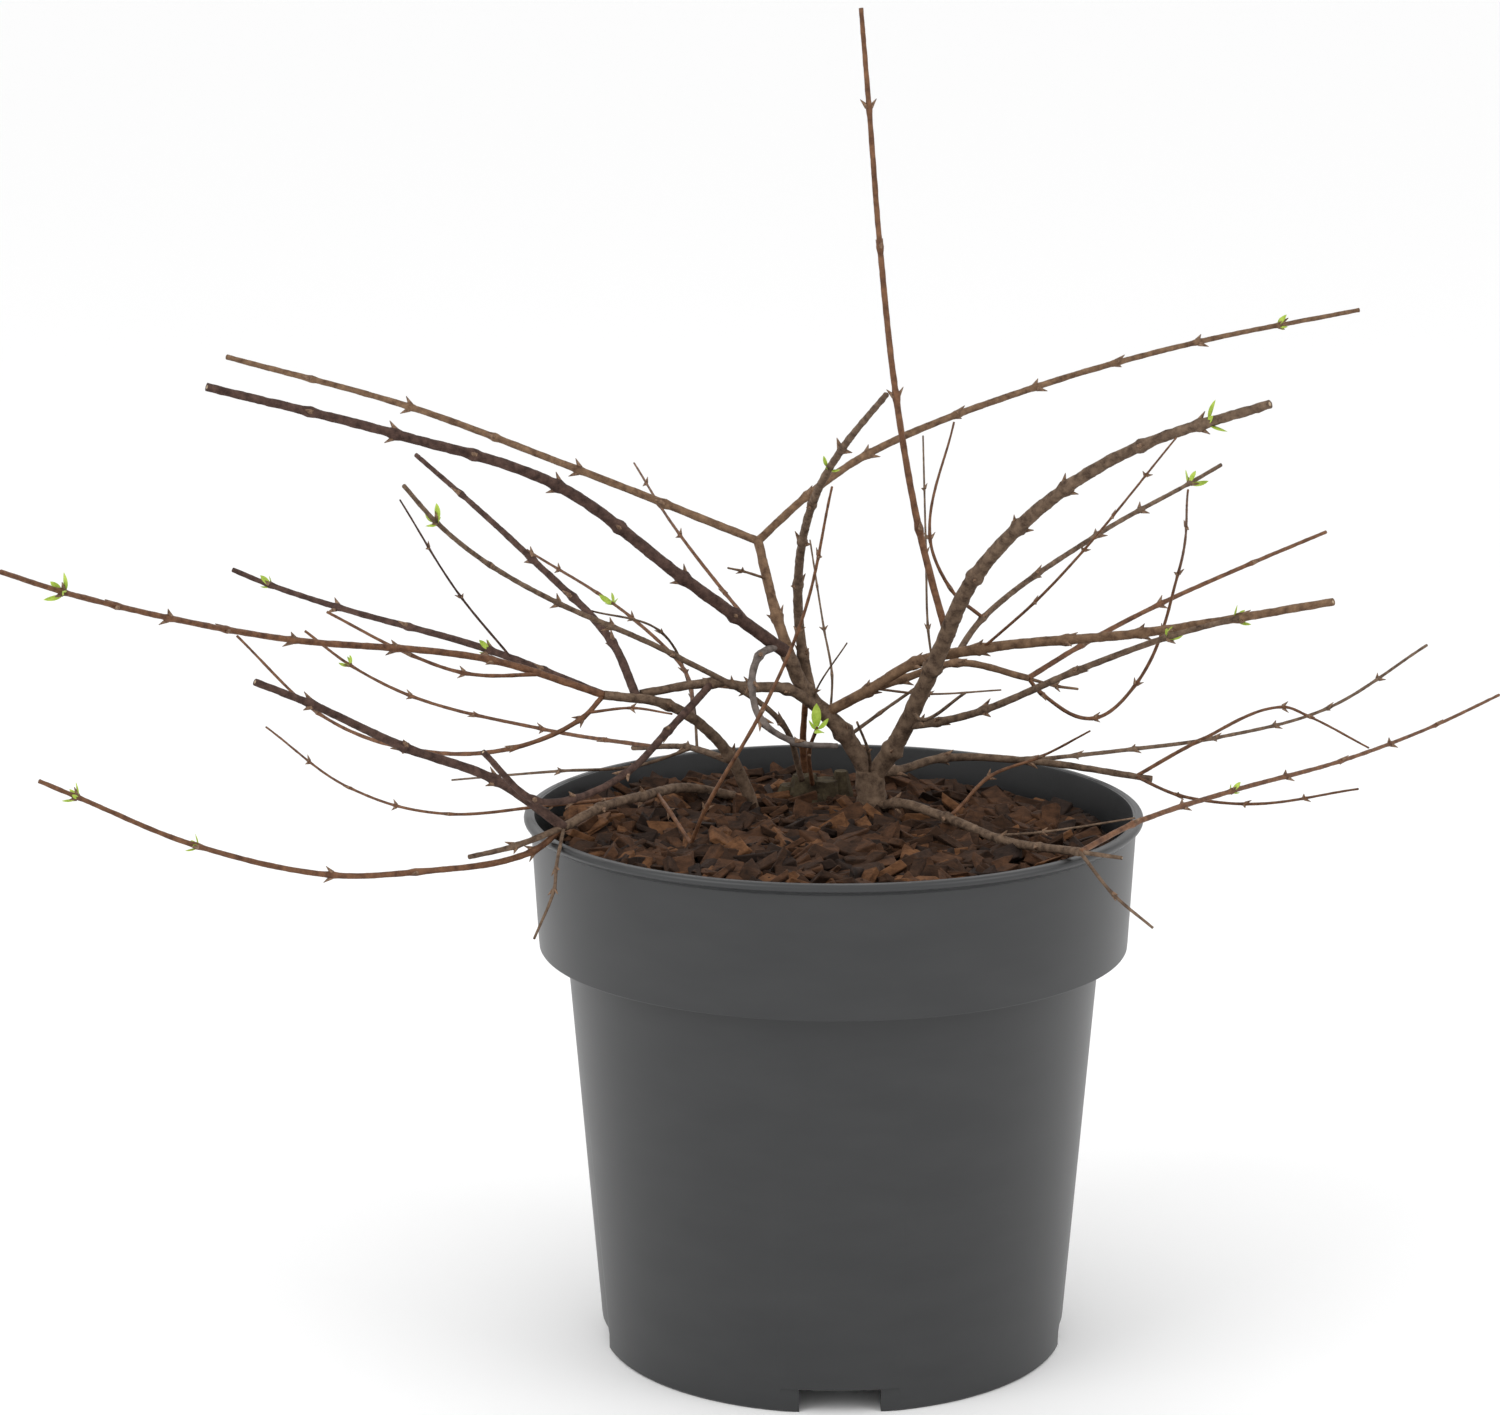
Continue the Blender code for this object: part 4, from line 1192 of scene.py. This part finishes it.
@dataclass
class Container:
    """The nursery container: foot ring, tapering body, stepped collar and beaded rim."""

    sides: int = 160
    base: float = 87.0
    shoulder: Pair = (99.9, 157.0)
    collar_edge: tuple[Pair, ...] = (
        (107.8, 157.8),
        (108.6, 154.0),
        (109.6, 153.9),
        (109.8, 154.2),
        (109.95, 156.0),
    )
    collar_top: Pair = (112.4, 199.6)
    bead: float = 1.5
    lip: tuple[Pair, ...] = ((112.2, 0.0), (111.7, 0.3), (111.1, 0.2), (110.9, 0.9))
    inside: tuple[Pair, ...] = ((108.5, 160.0), (98.4, 158.5))
    drain: float = 3
    floor_level: float = 10
    floor_thick: float = 1.5
    foot_ring: float = 5
    ring_lean: float = 1
    foot_edge: float = 0.8
    notches: int = 4
    notch_turn: float = math.radians(2)
    notch_foot: float = 50.0
    notch_head: float = 42.6
    notch_high: float = 9.2
    notch_deep: float = 2.4
    notch_block: float = 12
    opening: float = 29.6
    opening_block: float = 30
    below: float = 1
    weld: float = 0.01
    sharp: float = math.radians(28)
    plastic: SatinPlastic = SatinPlastic()

    def profile(self) -> list[Pair]:
        """Works out the closed section of the wall.

        Returns:
            Its corners as radius and height, with the rim's bead as an arc.
        """
        arc = [math.radians(degrees) for degrees in range(-80, 91, 17)]
        middle = (RIM_RADIUS - self.bead, RIM_TOP - self.bead)
        outer = [(middle[0] + self.bead * math.cos(a), middle[1] + self.bead * math.sin(a)) for a in arc]
        floor_top = self.floor_level + self.floor_thick
        return [
            (self.drain, self.floor_level),
            (self.base - self.foot_ring - self.ring_lean, self.floor_level),
            (self.base - self.foot_ring, 0),
            (self.base - self.foot_edge, 0),
            (self.base, self.foot_edge),
            self.shoulder,
            *self.collar_edge,
            self.collar_top,
            *outer,
            *((radius, RIM_TOP - down) for radius, down in self.lip),
            *self.inside,
            (self.base - self.ring_lean, floor_top),
            (self.drain, floor_top),
        ]

    def cutter(self, low: float, high: float, deep: float, reach: float, turn: float) -> bpy.types.Object:
        """Makes a block that cuts a notch or an opening in the foot.

        Args:
            low: Its width at the foot.
            high: Its width at its top.
            deep: Its size towards the axis.
            reach: How far its middle is from the axis.
            turn: Its angle round the axis.

        Returns:
            The block.
        """
        bm = bmesh.new()
        bmesh.ops.create_cube(bm, size=1)
        for vert in bm.verts:
            half = (low if vert.co.z < 0 else high) / 2
            level = -self.below if vert.co.z < 0 else self.notch_high
            vert.co = Vector((math.copysign(half, vert.co.x), vert.co.y * deep - reach, level)) * MM
        bmesh.ops.rotate(bm, verts=bm.verts, matrix=Matrix.Rotation(turn, 3, "Z"))
        return new_object("cutter", bm)

    def cutters(self) -> list[bpy.types.Object]:
        """Makes the blocks of the notches and of the openings behind them.

        Returns:
            The blocks.
        """
        made = []
        reach = self.base - self.notch_deep + self.notch_block / 2
        for k in range(self.notches):
            turn = self.notch_turn + k * math.tau / self.notches
            made.append(self.cutter(self.notch_foot, self.notch_head, self.notch_block, reach, turn))
            made.append(self.cutter(self.opening, self.opening, self.opening_block, self.base, turn))
        return made

    def build(self) -> None:
        """Spins the section, cuts the foot and dresses the plastic."""
        bm = bmesh.new()
        verts = [bm.verts.new((radius * MM, 0, height * MM)) for radius, height in self.profile()]
        edges = [bm.edges.new(pair) for pair in zip(verts, verts[1:] + verts[:1])]
        bmesh.ops.spin(
            bm,
            geom=verts + edges,
            axis=(0, 0, 1),
            cent=(0, 0, 0),
            angle=math.tau,
            steps=self.sides,
            use_merge=True,
        )
        bmesh.ops.remove_doubles(bm, verts=bm.verts, dist=MM * self.weld)
        bmesh.ops.recalc_face_normals(bm, faces=bm.faces)
        piece = new_object("container", bm)
        cutters = self.cutters()
        for cutter in cutters:
            cut = piece.modifiers.new("Cut", "BOOLEAN")
            cut.operation = "DIFFERENCE"
            cut.object = cutter
        mesh = mesh_of(piece)
        piece.modifiers.clear()
        piece.data = mesh
        for cutter in cutters:
            bpy.data.objects.remove(cutter)
        mesh.shade_smooth()
        mesh.set_sharp_from_angle(angle=self.sharp)
        mesh.materials.clear()
        mesh.materials.append(self.plastic.make())
        place_piece(piece, "pot")


@dataclass
class Mulch:
    """The layer of bark chips on a dark bed, which falls away towards the back right."""

    count: int = 1300
    radius: float = 108.0
    edge: float = 6
    level: float = 195.0
    low_side: float = math.radians(35)
    fall: float = 5.0
    rise: float = 2.5
    bed_sunk: float = 7
    bed_sides: int = 96
    bed_tone: int = 3
    seed: int = 11
    chip_size: tuple[Pair, Pair, Pair] = ((8, 24), (4.5, 12), (1.8, 4.4))
    ragged: Pair = (0.62, 1.1)
    tilt: Pair = (0.42, 0.3)
    lift: Pair = (-2.0, 1.6)
    wall_clear: float = 0.56
    worn: float = 0.35
    roughness: float = 0.84
    grain: float = 210.0
    grain_stretch: Triple = (1, 1, 2.4)
    shares: tuple[float, ...] = (4, 4, 1.6, 2)
    tones: tuple[tuple[Triple, Triple], ...] = (
        ((0.014, 0.007, 0.004), (0.052, 0.025, 0.013)),
        ((0.022, 0.010, 0.005), (0.088, 0.040, 0.019)),
        ((0.045, 0.019, 0.008), (0.170, 0.077, 0.033)),
        ((0.007, 0.004, 0.003), (0.032, 0.018, 0.012)),
    )

    def height(self, x: float, y: float) -> float:
        """The chips' level at a place."""
        fall = math.cos(math.atan2(y, x) - self.low_side) * math.hypot(x, y) / self.radius
        return self.level - self.fall * max(0.0, fall) + self.rise * max(0.0, -fall)

    def chip(self, bm: bmesh.types.BMesh, rng: random.Random, x: float, y: float, tone: int) -> None:
        """Adds one chip: a split slab with uneven corners, lying as it fell.

        Args:
            bm: What it is added to.
            rng: What makes it uneven.
            x: Its place across, before it is kept clear of the wall.
            y: Its place in depth, likewise.
            tone: Its colour group.
        """
        size = Vector([rng.uniform(*span) for span in self.chip_size]) * MM
        room = self.radius - size.length / MM * self.wall_clear
        inward = min(1.0, room / max(1.0, math.hypot(x, y)))
        x, y = x * inward, y * inward
        made = bmesh.ops.create_cube(bm, size=1)["verts"]
        for vert in made:
            ragged = Vector([rng.uniform(*self.ragged) for _ in size])
            vert.co = Vector([part * side * share for part, side, share in zip(vert.co, size, ragged)])
        tilts = [rng.gauss(0, spread) for spread in self.tilt]
        turn = Euler((*tilts, rng.uniform(0, math.tau))).to_matrix()
        bmesh.ops.rotate(bm, verts=made, matrix=turn)
        level = self.height(x, y) + rng.uniform(*self.lift)
        bmesh.ops.translate(bm, verts=made, vec=Vector((x, y, level)) * MM)
        for face in faces_of(made):
            face.material_index = tone
            face.smooth = False

    def build(self) -> None:
        """Makes the bed and its chips as one piece, and dresses the stump and the growing mix."""
        rng = random.Random(self.seed)
        bm = bmesh.new()
        bed = Matrix.Translation((0, 0, (self.level - self.bed_sunk) * MM))
        radius = self.radius * MM
        bmesh.ops.create_circle(bm, cap_ends=True, segments=self.bed_sides, radius=radius, matrix=bed)
        for face in bm.faces:
            face.material_index = self.bed_tone
        for _ in range(self.count):
            reach = (self.radius - self.edge) * math.sqrt(rng.random())
            turn = rng.uniform(0, math.tau)
            tone = rng.choices(range(len(self.tones)), weights=self.shares)[0]
            self.chip(bm, rng, reach * math.cos(turn), reach * math.sin(turn), tone)
        piece = new_object("chips", bm)
        bevel = piece.modifiers.new("Worn edges", "BEVEL")
        bevel.width = self.worn * MM
        bevel.segments = 1
        for k, (dark, light) in enumerate(self.tones):
            name = f"chip_tone_{k}"
            tint = TwoTone(name, dark, light, self.roughness, self.grain, 1.0, stretch=self.grain_stretch)
            piece.data.materials.append(tint.make())
        place_piece(piece, "bark_mulch")
        dress_node("old_stump", MOSSY_WOOD)
        dress_node("growing_mix", CRUMBLY_MIX)


@dataclass(frozen=True)
class Softbox:
    """A square area light, with its place and size in metres and its power in watts."""

    name: str
    place: Triple
    size: float
    power: float
    aim: Triple = (0, 0, 0.2)

    def hang(self) -> None:
        """Hangs the light so that it faces the plant."""
        light = bpy.data.lights.new(self.name, "AREA")
        light.size = self.size
        light.energy = self.power
        made = bpy.data.objects.new(self.name, light)
        made.location = self.place
        sight = Vector(self.aim) - Vector(self.place)
        made.rotation_euler = sight.to_track_quat("-Z", "Y").to_euler()
        bpy.context.scene.collection.objects.link(made)


@dataclass
class Studio:
    """The pale floor, the soft light and the camera. The floor's size is in metres."""

    floor_size: float = 60.0
    floor_colour: tuple[float, ...] = (0.92, 0.92, 0.92, 1)
    floor_roughness: float = 0.9
    sky_colour: tuple[float, ...] = (1, 1, 1, 1)
    sky_strength: float = 1.06
    lamps: tuple[Softbox, ...] = (
        Softbox("left_softbox", (-1.6, -1.3, 1.7), 1.4, 16),
        Softbox("right_softbox", (1.7, -0.9, 1.5), 1.2, 9),
    )

    def lay_floor(self) -> None:
        """Lays the pale floor, which isn't part of the plant."""
        bm = bmesh.new()
        bmesh.ops.create_grid(bm, x_segments=1, y_segments=1, size=self.floor_size / 2)
        floor = new_object("floor", bm)
        paint = Paint("pale_floor")
        floor.data.materials.append(paint.finish(self.floor_colour, self.floor_roughness))

    def light(self) -> None:
        """Sets the pale surroundings and hangs the lamps."""
        world = bpy.data.worlds.new("studio")
        world.use_nodes = True
        background = world.node_tree.nodes["Background"]
        background.inputs["Color"].default_value = self.sky_colour
        background.inputs["Strength"].default_value = self.sky_strength
        bpy.context.scene.world = world
        for lamp in self.lamps:
            lamp.hang()
        bpy.context.scene.view_settings.view_transform = "Standard"

    def set_camera(self) -> None:
        """Sets the camera where the photograph was taken from."""
        lens = bpy.data.cameras.new("camera")
        lens.sensor_width = SENSOR
        lens.lens = FOCAL * SENSOR / PICTURE_WIDTH
        camera = bpy.data.objects.new("camera", lens)
        camera.matrix_world = Matrix.Translation(CAMERA_PLACE) @ CAMERA_TURN.to_4x4()
        bpy.context.scene.collection.objects.link(camera)
        bpy.context.scene.camera = camera

    def build(self) -> None:
        """Lays the floor, lights it and sets the camera."""
        self.lay_floor()
        self.light()
        self.set_camera()


def main() -> None:
    """Builds the scene."""
    logging.basicConfig(level=logging.INFO)
    Studio().build()
    Container().build()
    Mulch().build()
    Shrub().build()


if __name__ == "__main__":
    main()
